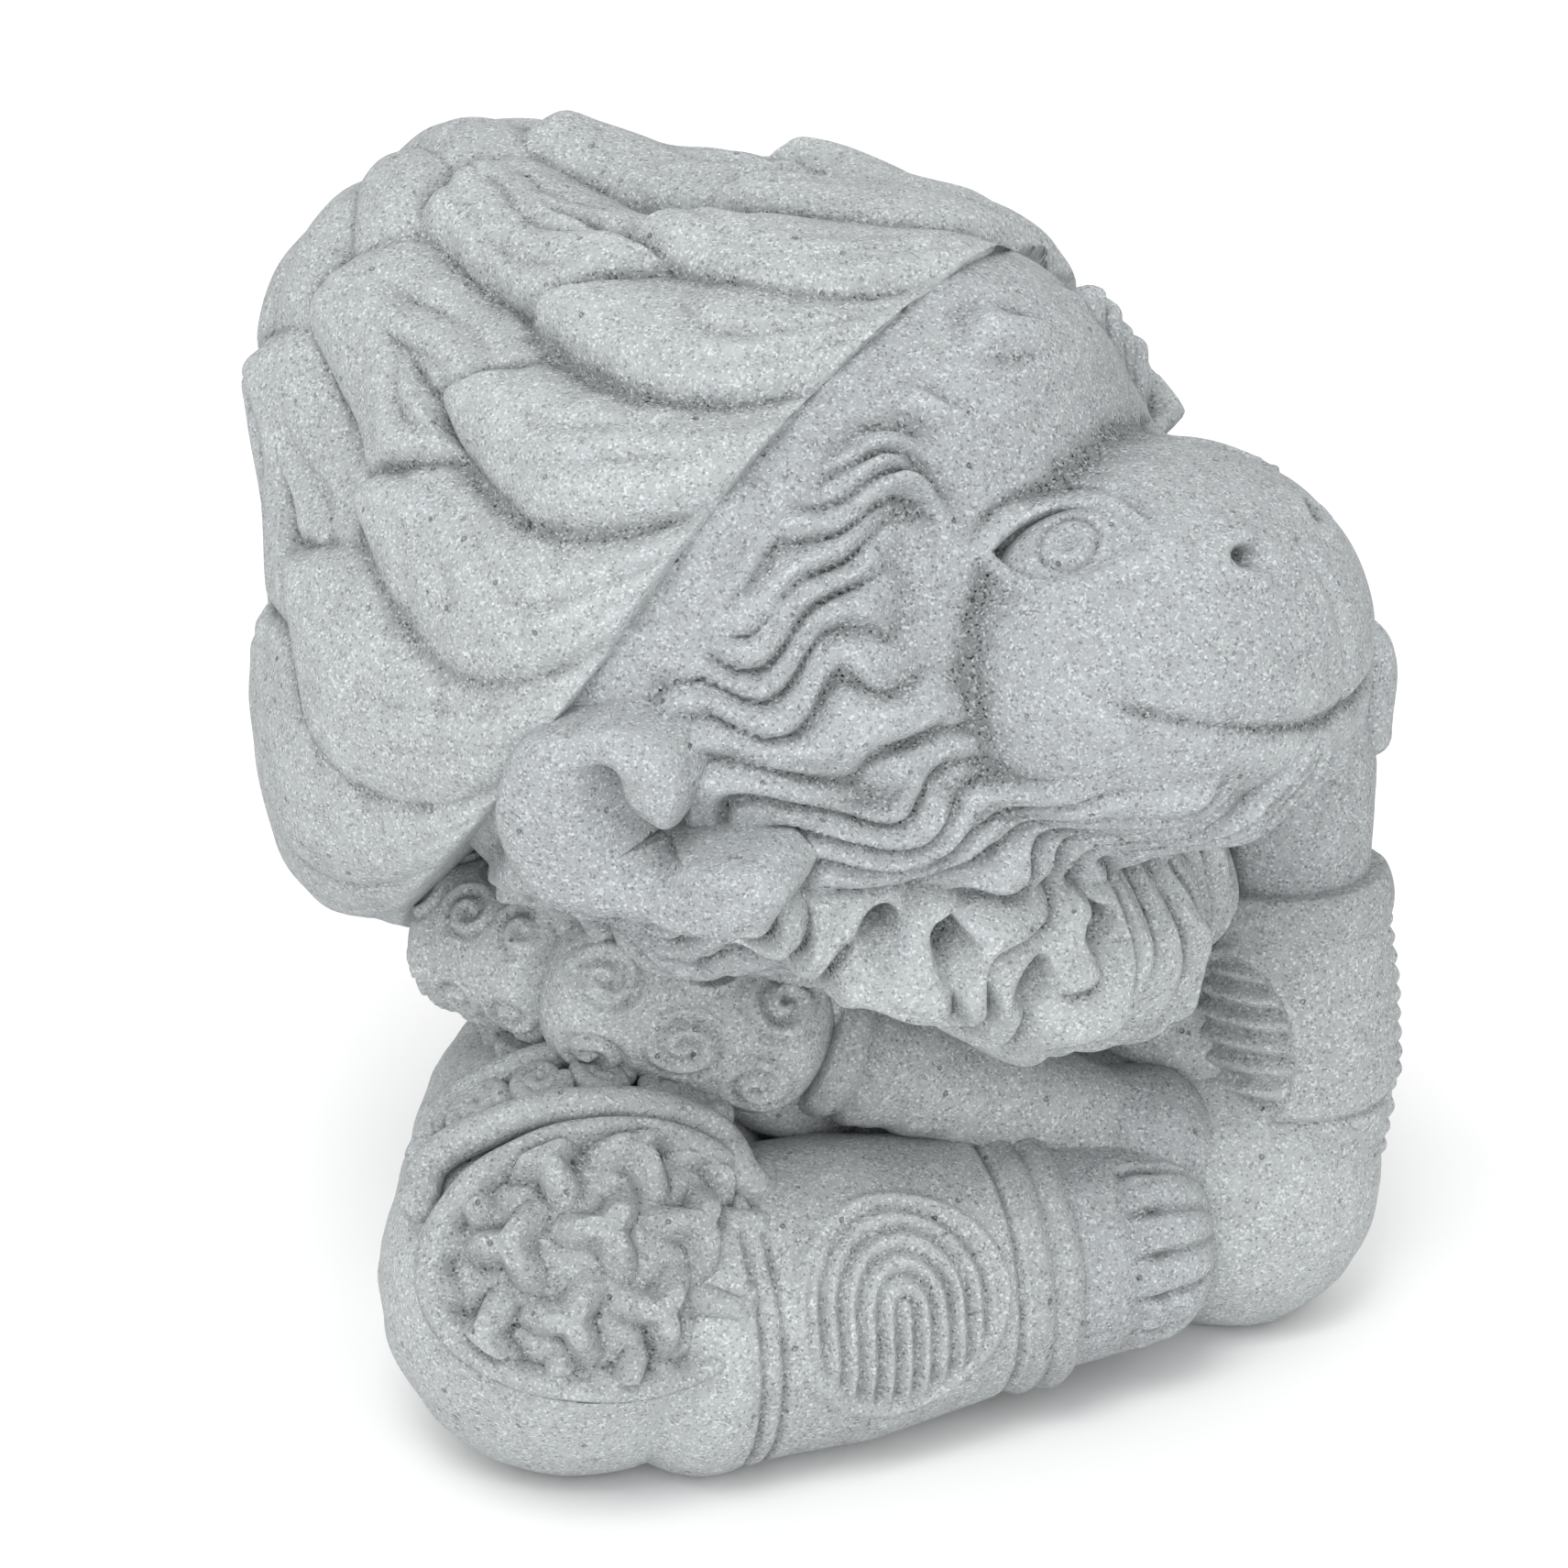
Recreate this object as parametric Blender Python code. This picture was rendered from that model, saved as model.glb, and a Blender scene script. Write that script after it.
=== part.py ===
"""A seated monkey carved in sandstone: cross-legged, the large head turned and propped on the left hand.

Units are metres and +Z is up. The body faces -Y, its left side is +X, and the origin lies on the ground,
in the middle of the flat underside of the haunches.
Every form is a function of `grow`. Grown forms cut the pieces that seat against them, so neighbours keep
CLEARANCE: in FORMS an earlier piece keeps its shape and a later one gives way.
"""
import math

import bmesh
import bpy
import numpy as np
from mathutils import Matrix, Vector

MM = 0.001

# Gap that is kept where one piece seats on another or meets it end to end, and how deep the ground cuts into
# legs
CLEARANCE = 0.3 * MM
END_GAP = CLEARANCE + 0.1 * MM
GROUND_SINK = 1.0 * MM
GROUND_SIZE = 200.0 * MM

# Haunches, torso and girdle
SEAT_HALF_WIDTH = 22.0 * MM
SEAT_HALF_DEPTH = 15.0 * MM
SEAT_HEIGHT = 17.0 * MM
SEAT_SINK = 2.0 * MM
TORSO_HALF_WIDTH = 15.5 * MM
TORSO_HALF_DEPTH = 11.5 * MM
TORSO_BOTTOM = 9.0 * MM
TORSO_TOP = 33.2 * MM
TORSO_FORWARD = 3.0 * MM
BELT_THICKNESS = 6.0 * MM
BELT_HALF_WIDTH = 18.5 * MM
BELT_HALF_DEPTH = 14.0 * MM
BELT_RISE = 10.0 * MM

# Head: the angles turn it to the figure's left, lift the face and lean it over
HEAD_RISE = 7.3 * MM
HEAD_SHIFT = 1.0 * MM
HEAD_TURN = math.radians(33)
HEAD_TILT = math.radians(12)
HEAD_LEAN = math.radians(3)
SKULL_HALF_WIDTH = 23.0 * MM
SKULL_HALF_LENGTH = 19.5 * MM
SKULL_HALF_HEIGHT = 20.8 * MM
SKULL_DROP = 18.0 * MM
MUZZLE_FORWARD = 20.5 * MM
MUZZLE_LIFT = -1.6 * MM
MUZZLE_HALF_WIDTH = 12.4 * MM
MUZZLE_HALF_LENGTH = 11.8 * MM
MUZZLE_HALF_HEIGHT = 10.2 * MM
FACE_BLEND = 1.0 * MM
BROW_SWELL = 3.2 * MM
BROW_LIFT = math.radians(42)
BROW_SPREAD = math.radians(26)
JAW_SWELL = 4.0 * MM
JAW_LIFT = math.radians(-34)
JAW_SPREAD = math.radians(38)

# Nostrils and the line of the closed mouth, cut into the muzzle
NOSTRIL_RADIUS = 0.9 * MM
NOSTRIL_TURN = math.radians(7)
NOSTRIL_LIFT = math.radians(8)
MOUTH_LINE = 1.2 * MM
MOUTH_TURN = math.radians(25)
MOUTH_LIFT = math.radians(-9)
MOUTH_SMILE = math.radians(7)

# Eyes, ears and the plain band along the hairline
EYE_HALF_WIDTH = 3.0 * MM
EYE_HALF_HEIGHT = 3.4 * MM
EYE_HALF_DEPTH = 1.9 * MM
EYE_SINK = 1.2 * MM
EYE_TURN = math.radians(20)
EYE_LIFT = math.radians(15)
EAR_THICKNESS = 4.0 * MM
EAR_HOLLOW = 1.6 * MM
EAR_EDGE_ROUND = 1.4 * MM
EAR_ROOT = 2.0 * MM
EAR_FORWARD = math.radians(6)
EAR_DROP = math.radians(12)
# How far the ear's outline lies from its middle, by the angle in degrees from the front over the top: a broad
# upper lobe, a lower lobe that runs forward, and a notch between them
EAR_OUTLINE = ((4, 2.6 * MM), (20, 4.8 * MM), (34, 6.6 * MM), (50, 7.7 * MM), (70, 7.6 * MM), (90, 7.1 * MM),
               (112, 7.1 * MM), (144, 5.8 * MM), (180, 5.1 * MM), (207, 5.6 * MM), (235, 5.9 * MM),
               (272, 5.6 * MM), (300, 6.5 * MM), (316, 8.5 * MM), (330, 9.6 * MM), (345, 10.2 * MM),
               (354, 9.6 * MM), (359, 7.5 * MM))
BAND_SLOPE = math.radians(44)
BAND_SETBACK = 0.5 * MM
BAND_WIDTH = 6.0 * MM
BAND_HEIGHT = 0.8 * MM

# Mane: a cap behind the band, whose locks leave the hairline sideways, turn up and end in slanted tips, with
# a second round of curls above them
MANE_RADIUS = 24.6 * MM
MANE_SETBACK = 5.5 * MM
MANE_DROP = 4.8 * MM
MANE_THICKNESS = 1.0 * MM
CROWN_RISE = 9.2 * MM
CROWN_SPREAD = math.radians(27)
MANE_EDGE_ROUND = 1.2 * MM
MANE_EDGE_START = 0.8
LOCK_COUNT = 16
LOCK_DEPTH = 1.8 * MM
LOCK_START = math.radians(172)
LOCK_SWEEP = math.radians(24)
LOCK_SWEEP_FADE = math.radians(9)
LOCK_TIP = math.radians(38)
LOCK_TIP_SLANT = math.radians(10)
LOCK_TIP_FALL = math.radians(6)
LOCK_TIP_SWELL = 0.6
LOCK_LEAN = 0.7
CURL_COUNT = 8
CURL_DEPTH = 2.2 * MM
CURL_TIP = math.radians(17)

# Cheek ruff: a crescent of tufts from ear to ear under the jaw
RUFF_THICKNESS = 13.0 * MM
RUFF_LIFT = math.radians(-50)
RUFF_END_LIFT = math.radians(-22)
RUFF_REACH = math.radians(76)
TUFT_COUNT = 11
TUFT_DEPTH = 0.8 * MM

# Cheek fur: furrows that run outwards from the smooth face in S-curves
FUR_COUNT = 18
FUR_DEPTH = 1.0 * MM
FUR_START = math.radians(47)
FUR_START_BELOW = math.radians(18)
FUR_FADE = math.radians(14)
FUR_SWAY = 0.9
FUR_WAVES = 5.0

# Legs: the right shin crosses in front, the left one lies behind it
HIP_SPREAD = 11.0 * MM
RIGHT_KNEE_SPREAD = 18.4 * MM
LEFT_KNEE_SPREAD = 19.6 * MM
RIGHT_KNEE_FORWARD = 11.8 * MM
LEFT_KNEE_FORWARD = 14.0 * MM
RIGHT_THIGH_THICKNESS = 20.6 * MM
LEFT_THIGH_THICKNESS = 17.0 * MM
SHIN_THICKNESS = 16.4 * MM
RIGHT_SHIN_FORWARD = 3.4 * MM
LEFT_SHIN_BACK = 4.0 * MM
SHIN_TUCK = 5.0 * MM
SHIN_LENGTH = 16.5 * MM
SHIN_TOE_IN = 2.2 * MM
ANKLE_THICKNESS = 13.8 * MM
ANKLET_WIDTH = 2.0 * MM
ANKLET_HEIGHT = 0.5 * MM
FOOT_LENGTH = 6.5 * MM
FOOT_THICKNESS = 12.0 * MM
TOE_HALF_LENGTH = 2.6 * MM
TOE_HALF_DEPTH = 3.2 * MM
TOE_HALF_HEIGHT = 2.0 * MM
TOE_PAST_TIP = 1.0 * MM
TOE_COUNT = 4
TASSET_THICKNESS = 1.7 * MM
TASSET_RIM = 1.6 * MM
TASSET_BEVEL = 0.5 * MM
TASSET_FIELD_SINK = 0.7 * MM
TASSET_HALF_LENGTH = 9.6 * MM
TASSET_HALF_HEIGHT = 8.4 * MM
TASSET_TURN = math.radians(14)
TASSET_LIFT = math.radians(41)

# Arms: the right one lies across the lap, the left one stands on its knee and holds the cheek
SHOULDER_HEIGHT = 24.5 * MM
RIGHT_SHOULDER_OUT = 8.0 * MM
RIGHT_SHOULDER_BACK = 3.0 * MM
SLEEVE_THICKNESS = 9.6 * MM
SLEEVE_LENGTH = 9.5 * MM
SLEEVE_ROUND = 3.2 * MM
ELBOW_OUT = -0.5 * MM
ELBOW_HEIGHT = 24.5 * MM
ELBOW_FORWARD = 8.0 * MM
LAP_SINK = 1.8 * MM
FOREARM_THICKNESS = 7.6 * MM
FOREARM_LENGTH = 13.0 * MM
WRIST_THICKNESS = 6.6 * MM
ARMBAND_WIDTH = 2.2 * MM
ARMBAND_HEIGHT = 0.4 * MM
PROP_THICKNESS = 11.0 * MM
PROP_WRIST_THICKNESS = 10.2 * MM
PROP_ELBOW_THICKNESS = 9.0 * MM
PROP_OUT = 3.0 * MM
PROP_FORWARD = 2.6 * MM
PROP_RISE = 2.1 * MM
ELBOW_ROUND = 1.8 * MM
HAND_THICKNESS = 9.0 * MM
HAND_LENGTH = 12.0 * MM
HAND_HOLD = 12.0 * MM
FIST_ROUND = 3.0 * MM
CHEEK_TURN = math.radians(32.5)
CHEEK_LIFT = math.radians(-16)
FINGER_COUNT = 4
FINGER_DEPTH = 0.9 * MM

# Stone
STONE_COLOUR = (0.46, 0.49, 0.50)
STONE_SHADES = {"mane": 0.96, "headband": 1.04, "tasset": 0.97, "belt": 0.94}
STONE_ROUGHNESS = 0.92

# Facets round the forms, from the largest to the smallest, along a tuft and a furrow, and from face to nape;
# and where a lock's facets lie across it
FINE = 28
MEDIUM = 16
COARSE = 12
SMALL = 8
TINY = 6
TUFT_FACETS = 3
FUR_FACETS = 4
HEAD_ROWS = 16
LOCK_ACROSS = np.array((0.0, 0.22, 0.5, 0.8))
FACE_ROWS_CLOSER = 1.4


# Frames and directions

def frame(spot, turn=Matrix.Identity(3)):
    """A placed frame: x to the left, y to the back and z up before it is turned."""
    return Matrix.Translation(Vector(spot)) @ turn.to_4x4()


def head_frame():
    turn = Matrix.Rotation(HEAD_TURN, 3, "Z")
    tilt = Matrix.Rotation(-HEAD_TILT, 3, "X")
    lean = Matrix.Rotation(HEAD_LEAN, 3, "Y")
    return frame((-HEAD_SHIFT, -TORSO_FORWARD, TORSO_TOP + HEAD_RISE), turn @ tilt @ lean)


def band_tilt():
    """From the head's frame to the band's, whose z points back and up, square to the hairline."""
    return Matrix.Rotation(-BAND_SLOPE, 3, "X")


def looking(turn, lift):
    """Turns a frame's front to the left and then lifts it."""
    return Matrix.Rotation(turn, 3, "Z") @ Matrix.Rotation(-lift, 3, "X")


def facing(turn, lift):
    """Unit direction of a front that is turned to the left and lifted."""
    return np.array(looking(turn, lift) @ Vector((0, -1, 0)))


# How far forms reach from the middle of their frame

def ellipsoid_reach(ways, centre, radii):
    """Distance to the far side of an ellipsoid, or zero where a direction misses it."""
    stretched = ways / np.array(radii)
    offset = np.array(centre) / np.array(radii)
    square = (stretched ** 2).sum(axis=-1)
    along = stretched @ offset
    inside = along ** 2 - square * (offset @ offset - 1.0)
    return np.where(inside > 0, (along + np.sqrt(np.abs(inside))) / square, 0.0).clip(min=0)


def blend(first, second):
    """The larger of two distances, with the valley between them softly filled."""
    return FACE_BLEND * np.logaddexp(first / FACE_BLEND, second / FACE_BLEND)


def bump(ways, middle, spread):
    """A bell over the angle from a middle direction, 1 in the middle."""
    return np.exp(-(np.arccos((ways @ middle).clip(-1, 1)) / spread) ** 2)


def skull_reach(ways):
    """An egg that is higher above its middle than below it, with a heavy brow."""
    upper = ellipsoid_reach(ways, (0, 0, 0), (SKULL_HALF_WIDTH, SKULL_HALF_LENGTH, SKULL_HALF_HEIGHT))
    lower = ellipsoid_reach(ways, (0, 0, 0), (SKULL_HALF_WIDTH, SKULL_HALF_LENGTH, SKULL_DROP))
    brow = BROW_SWELL * bump(ways, facing(0, BROW_LIFT), BROW_SPREAD)
    return np.where(ways[..., 2] > 0, upper, lower) + brow


def head_reach(ways):
    """Skull, jaw and round muzzle as one smooth form."""
    jaw = JAW_SWELL * bump(ways, facing(0, JAW_LIFT), JAW_SPREAD)
    muzzle = ellipsoid_reach(ways, (0, -MUZZLE_FORWARD, MUZZLE_LIFT),
                             (MUZZLE_HALF_WIDTH, MUZZLE_HALF_LENGTH, MUZZLE_HALF_HEIGHT))
    return blend(skull_reach(ways) + jaw, muzzle)


def on_head(turn, lift, sink=0.0):
    """Point on the head's surface, or a little under it, in the head's frame."""
    way = facing(turn, lift)
    return way * (head_reach(way) - sink)


# Solids

def skin(rings, closed=False):
    """Solid over rings of points. A run that isn't closed on itself ends in its last points' middle."""
    body = bmesh.new()
    rings = list(rings)
    if not closed and len(rings[0]) > 1:
        rings.insert(0, np.mean(rings[0], axis=0, keepdims=True))
    if not closed and len(rings[-1]) > 1:
        rings.append(np.mean(rings[-1], axis=0, keepdims=True))
    loops = [[body.verts.new(point) for point in ring] for ring in rings]
    pairs = list(zip(loops, loops[1:]))
    if closed:
        pairs.append((loops[-1], loops[0]))
    for lower, upper in pairs:
        for i in range(max(len(lower), len(upper))):
            corners = [lower[(i - 1) % len(lower)], lower[i % len(lower)],
                       upper[i % len(upper)], upper[(i - 1) % len(upper)]]
            body.faces.new(dict.fromkeys(corners))
    bmesh.ops.triangulate(body, faces=body.faces)
    bmesh.ops.recalc_face_normals(body, faces=body.faces)
    return body


def ways_at(polar, around):
    """Unit directions from an angle off the z axis and an angle round it."""
    polar, around = np.broadcast_arrays(polar, around)
    return np.stack([np.sin(polar) * np.cos(around), np.sin(polar) * np.sin(around), np.cos(polar)], -1)


def round_angles(columns):
    return np.linspace(0, math.tau, columns, endpoint=False)


def ways_all_round(rows, columns, closer=1.0):
    """Rings of directions from pole to pole, one direction at each pole and closer rings at the first."""
    polar = math.pi * np.linspace(0, 1, rows + 1) ** closer
    return [ways_at(angle, round_angles(columns if 0 < row < rows else 1)) for row, angle in enumerate(polar)]


def ellipsoid(radii, grow, columns=COARSE):
    return skin([ways * (np.array(radii) + grow) for ways in ways_all_round(columns // 2, columns)])


def path_through(points, steps):
    """Even steps along a smooth curve (Catmull-Rom) through the points."""
    knots = np.array(points, dtype=float)
    knots = np.vstack([2 * knots[0] - knots[1], knots, 2 * knots[-1] - knots[-2]])
    spots = np.linspace(0, len(knots) - 3, steps)
    first = np.minimum(spots.astype(int), len(knots) - 4)
    part = (spots - first)[:, None]
    a, b, c, d = (knots[first + shift] for shift in range(4))
    return b + 0.5 * part * (c - a + part * (2 * a - 5 * b + 4 * c - d + part * (3 * (b - c) + d - a)))


def along(path, start, end, steps):
    """The stretch of a path between two distances from its first point."""
    run = np.concatenate([[0], np.cumsum(np.linalg.norm(np.diff(path, axis=0), axis=1))])
    reads = np.linspace(start, end, steps)
    return np.stack([np.interp(reads, run, path[:, axis]) for axis in range(3)], 1)


def limb(path, thicknesses, grow, dome=0.0, columns=COARSE, ripple=None):
    """A round bar along a path; `dome` is the length by which each end bulges out."""
    path = np.array(path, dtype=float)
    ahead = np.gradient(path, axis=0)
    ahead /= np.linalg.norm(ahead, axis=1)[:, None]
    share = np.linspace(0, 1, len(path))
    radius = np.interp(share, np.linspace(0, 1, len(thicknesses)), thicknesses) / 2 + grow
    path[0] -= ahead[0] * grow
    path[-1] += ahead[-1] * grow
    if dome:
        path, ahead, radius = add_domes(path, ahead, radius, dome)
    upright = np.abs(ahead[:, 2]).mean() > 0.7
    side = np.cross(ahead, (0, 1, 0) if upright else (0, 0, 1))
    side /= np.linalg.norm(side, axis=1)[:, None]
    rise = np.cross(side, ahead)
    angle = round_angles(columns)[None, :]
    reach = np.repeat(radius[:, None], columns, 1)
    if ripple is not None:
        reach = reach + ripple(np.linspace(0, 1, len(path))[:, None], angle)
    ring = np.cos(angle)[..., None] * side[:, None] + np.sin(angle)[..., None] * rise[:, None]
    return skin(path[:, None] + reach[..., None] * ring)


def add_domes(path, ahead, radius, dome, steps=4):
    """Shrinking rings past both ends of a bar."""
    angle = np.linspace(0, math.pi / 2, steps + 2)[1:-1]
    past = dome * np.sin(angle)[:, None]
    shrink = np.cos(angle)
    path = np.vstack([path[0] - past[::-1] * ahead[0], path, path[-1] + past * ahead[-1]])
    ahead = np.vstack([np.repeat(ahead[:1], steps, 0), ahead, np.repeat(ahead[-1:], steps, 0)])
    radius = np.concatenate([radius[0] * shrink[::-1], radius, radius[-1] * shrink])
    return path, ahead, radius


def place(body, matrix):
    bmesh.ops.transform(body, matrix=matrix, verts=body.verts)
    return body


def ground():
    """A large block whose top face is what the figure stands on."""
    body = bmesh.new()
    bmesh.ops.create_cube(body, size=GROUND_SIZE, matrix=Matrix.Translation((0, 0, -GROUND_SIZE / 2)))
    return body


# Exact Booleans

def add_object(body, name):
    mesh = bpy.data.meshes.new(name)
    body.to_mesh(mesh)
    body.free()
    item = bpy.data.objects.new(name, mesh)
    bpy.context.scene.collection.objects.link(item)
    return item


def boolean(subject, tool, operation):
    """The subject's form after one Boolean with a tool object."""
    step = subject.modifiers.new(operation, "BOOLEAN")
    step.operation = operation
    step.solver = "EXACT"
    step.object = tool
    evaluated = subject.evaluated_get(bpy.context.evaluated_depsgraph_get())
    result = bmesh.new()
    result.from_mesh(evaluated.to_mesh())
    evaluated.to_mesh_clear()
    subject.modifiers.clear()
    return result


def combine(first, second, operation):
    """Boolean of two loose forms."""
    subject = add_object(first, "subject")
    tool = add_object(second, "tool")
    result = boolean(subject, tool, operation)
    for item in (subject, tool):
        bpy.data.objects.remove(item)
    return result


# Head group

def fur_furrows(ways):
    """Depth of the furrows between tufts of cheek fur: none on the face, which is narrow below."""
    around = np.arctan2(ways[..., 2], ways[..., 0])
    off = np.arccos(-ways[..., 1].clip(-1, 1))
    start_below = FUR_START_BELOW + (FUR_START - FUR_START_BELOW) * np.cos(around) ** 4
    start = np.where(ways[..., 2] > 0, FUR_START, start_below)
    fade = ((off - start) / FUR_FADE).clip(0, 1)
    wave = np.cos(FUR_COUNT * around + FUR_SWAY * np.sin(FUR_WAVES * off))
    return FUR_DEPTH * fade * (1 - wave) / 2


def nostril(side):
    body = ellipsoid((NOSTRIL_RADIUS,) * 3, 0, TINY)
    return place(body, frame(on_head(side * NOSTRIL_TURN, NOSTRIL_LIFT)))


def mouth():
    """A cord along the lips, which rises to the corners."""
    shares = np.linspace(-1, 1, TINY)
    points = [on_head(share * MOUTH_TURN, MOUTH_LIFT + MOUTH_SMILE * share ** 2) for share in shares]
    return limb(path_through(points, TINY), (MOUTH_LINE, MOUTH_LINE), 0, columns=TINY)


def head(grow):
    """The rings run from the tip of the muzzle to the back of the skull. Furrows, nostrils and mouth lie
    inside what neighbours seat on."""
    from_front = np.array(Matrix.Rotation(math.pi / 2, 3, "X"))
    columns = FINE if grow else FUR_COUNT * FUR_FACETS
    rings = [ways @ from_front.T for ways in ways_all_round(HEAD_ROWS, columns, FACE_ROWS_CLOSER)]
    furrows = [0.0 if grow else fur_furrows(ways) for ways in rings]
    reaches = [head_reach(ways) + grow - furrow for ways, furrow in zip(rings, furrows)]
    body = skin([ways * reach[:, None] for ways, reach in zip(rings, reaches)])
    for cut in () if grow else (nostril(-1), nostril(1), mouth()):
        body = combine(body, cut, "DIFFERENCE")
    return place(body, head_frame())


def eye(side, grow):
    turn = side * EYE_TURN
    body = ellipsoid((EYE_HALF_WIDTH, EYE_HALF_DEPTH, EYE_HALF_HEIGHT), grow)
    return place(body, head_frame() @ frame(on_head(turn, EYE_LIFT, EYE_SINK), looking(turn, EYE_LIFT)))


def headband(grow):
    """A low rounded strip right round the skull, square to the slope of the hairline."""
    half = BAND_WIDTH / 2 + grow
    rings = []
    for across in np.linspace(-1, 1, 5):
        height = BAND_SETBACK + half * across
        polar = math.acos(height / (SKULL_HALF_HEIGHT + BAND_HEIGHT))
        ways = ways_at(polar, round_angles(FINE))
        swell = BAND_HEIGHT * (1 - across ** 4 / 2) + grow
        ring = ways * (skull_reach(ways @ np.array(band_tilt()).T) + swell)[:, None]
        ring[:, 2] = height
        rings.append(ring)
    return place(skin(rings), head_frame() @ band_tilt().to_4x4())


def ear(side, grow):
    """A thick leaf rolled like a C, lowest beside its notch, with its root sunk in the head."""
    turn = side * (math.pi / 2 - EAR_FORWARD)
    degrees, outline = np.array(EAR_OUTLINE).T
    angle = np.radians(degrees)
    hollow = 0 if grow else EAR_HOLLOW * (1 + np.cos(angle)) / 2
    full = EAR_THICKNESS + grow
    rings = []
    for inset, height in ((outline / 2, full - hollow), (EAR_EDGE_ROUND, full), (0, full - EAR_EDGE_ROUND),
                          (0, -EAR_ROOT - grow), (outline / 2, -EAR_ROOT - grow)):
        reach = outline - inset + grow
        forward, up = reach * np.cos(angle), reach * np.sin(angle)
        rings.append(np.stack(np.broadcast_arrays(-side * forward, -height, up), 1))
    return place(skin(rings), head_frame() @ frame(on_head(turn, -EAR_DROP), looking(turn, -EAR_DROP)))


def lock_swing(polar, edge_polar):
    """How far locks have swung round the crown from where they end up: most at the hairline."""
    return LOCK_SWEEP * np.exp((polar - edge_polar) / LOCK_SWEEP_FADE)


def lock_round(across):
    """A lock's height across it: round, and steeper on its lower edge."""
    return np.sin(math.pi * across ** LOCK_LEAN)


def lock_relief(polar):
    """Height of the locks along one ring. Each ends in a slanted tip, and above the tips a second round of
    curls goes on to the crown."""
    across = np.tile(LOCK_ACROSS, LOCK_COUNT)
    profile = lock_round(across)
    tip = LOCK_TIP + LOCK_TIP_SLANT * across
    inside = ((polar - tip) / LOCK_TIP_FALL).clip(0, 1)
    swell = 1 + LOCK_TIP_SWELL * np.exp(-((polar - tip) / LOCK_TIP_SLANT - 1) ** 2)
    locks = LOCK_DEPTH * profile * swell * inside
    curl_across = np.repeat(np.linspace(0, 1, LOCK_COUNT // CURL_COUNT, endpoint=False), len(LOCK_ACROSS))
    share = np.tile(curl_across, CURL_COUNT) + across * CURL_COUNT / LOCK_COUNT
    curls = CURL_DEPTH * lock_round(share) * ((polar - CURL_TIP) / LOCK_TIP_FALL).clip(0, 1)
    return np.maximum(locks, curls * (1 - inside)) - LOCK_DEPTH / 2


def mane(grow):
    """A cap from the crown down to the rear edge of the band."""
    edge = BAND_SETBACK + BAND_WIDTH / 2 + END_GAP - grow
    tilt = np.array(band_tilt())
    edge_polar = math.acos(edge / MANE_RADIUS)
    strand = LOCK_START + (np.arange(LOCK_COUNT)[:, None] + LOCK_ACROSS).ravel() * math.tau / LOCK_COUNT
    rings = []
    for share in np.linspace(0, 1, MEDIUM)[1:]:
        polar = share * edge_polar
        ways = ways_at(polar, strand + lock_swing(polar, edge_polar))
        ball = ellipsoid_reach(ways @ tilt.T, (0, MANE_SETBACK, -MANE_DROP), (MANE_RADIUS,) * 3)
        cap = blend(ball, skull_reach(ways @ tilt.T) + MANE_THICKNESS + LOCK_DEPTH / 2)
        crown = CROWN_RISE * math.exp(-(polar / CROWN_SPREAD) ** 3)
        drop = MANE_EDGE_ROUND * (max(0, share - MANE_EDGE_START) / (1 - MANE_EDGE_START)) ** 2
        rings.append(ways * (cap + crown + lock_relief(polar) - drop + grow)[:, None])
    rings[-1][:, 2] = edge
    return place(skin(rings), head_frame() @ band_tilt().to_4x4())


def ruff(grow):
    """A crescent under the jaw from ear to ear, parted into tufts."""
    turns = np.linspace(-RUFF_REACH, RUFF_REACH, 9)
    lifts = RUFF_LIFT + (RUFF_END_LIFT - RUFF_LIFT) * (turns / RUFF_REACH) ** 2
    points = [on_head(turn, lift) for turn, lift in zip(turns, lifts)]
    swell = RUFF_THICKNESS * np.cos(turns)

    def tufts(share, _angle):
        return TUFT_DEPTH * (np.abs(np.sin(math.pi * TUFT_COUNT * share)) - 1)

    path = path_through(points, TUFT_COUNT * TUFT_FACETS + 1)
    return place(limb(path, swell, grow, columns=SMALL, ripple=tufts), head_frame())


# Body and legs

def torso(grow):
    half = (TORSO_TOP - TORSO_BOTTOM) / 2
    body = ellipsoid((TORSO_HALF_WIDTH, TORSO_HALF_DEPTH, half), grow, MEDIUM)
    return place(body, frame((0, -TORSO_FORWARD, TORSO_TOP - half)))


def seat(grow):
    """The haunches: a low dome that stands on the ground."""
    half = (SEAT_HEIGHT + SEAT_SINK) / 2
    body = ellipsoid((SEAT_HALF_WIDTH, SEAT_HALF_DEPTH, half), grow, MEDIUM)
    return place(body, frame((0, 0, half - SEAT_SINK)))


def belt(grow):
    """A rolled girdle round the waist, as high over the torso's lower end as its rise says."""
    outward = ways_at(math.pi / 2, round_angles(MEDIUM))[:, None]
    upward = np.array((0, 0, 1))
    section = round_angles(10)[None, :, None]
    roll = (BELT_THICKNESS / 2 + grow) * (np.cos(section) * outward + np.sin(section) * upward)
    half = (BELT_HALF_WIDTH - BELT_THICKNESS / 2, BELT_HALF_DEPTH - BELT_THICKNESS / 2, 0)
    waist = outward * half + (0, -TORSO_FORWARD, TORSO_BOTTOM + BELT_RISE)
    return skin(waist + roll, closed=True)


def thigh_thickness(side):
    return RIGHT_THIGH_THICKNESS if side < 0 else LEFT_THIGH_THICKNESS


def knee(side):
    height = thigh_thickness(side) / 2 - GROUND_SINK
    if side < 0:
        return Vector((-RIGHT_KNEE_SPREAD, -RIGHT_KNEE_FORWARD, height))
    return Vector((LEFT_KNEE_SPREAD, -LEFT_KNEE_FORWARD, height))


def hip(side):
    return Vector((side * HIP_SPREAD, 0, knee(side).z))


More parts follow.
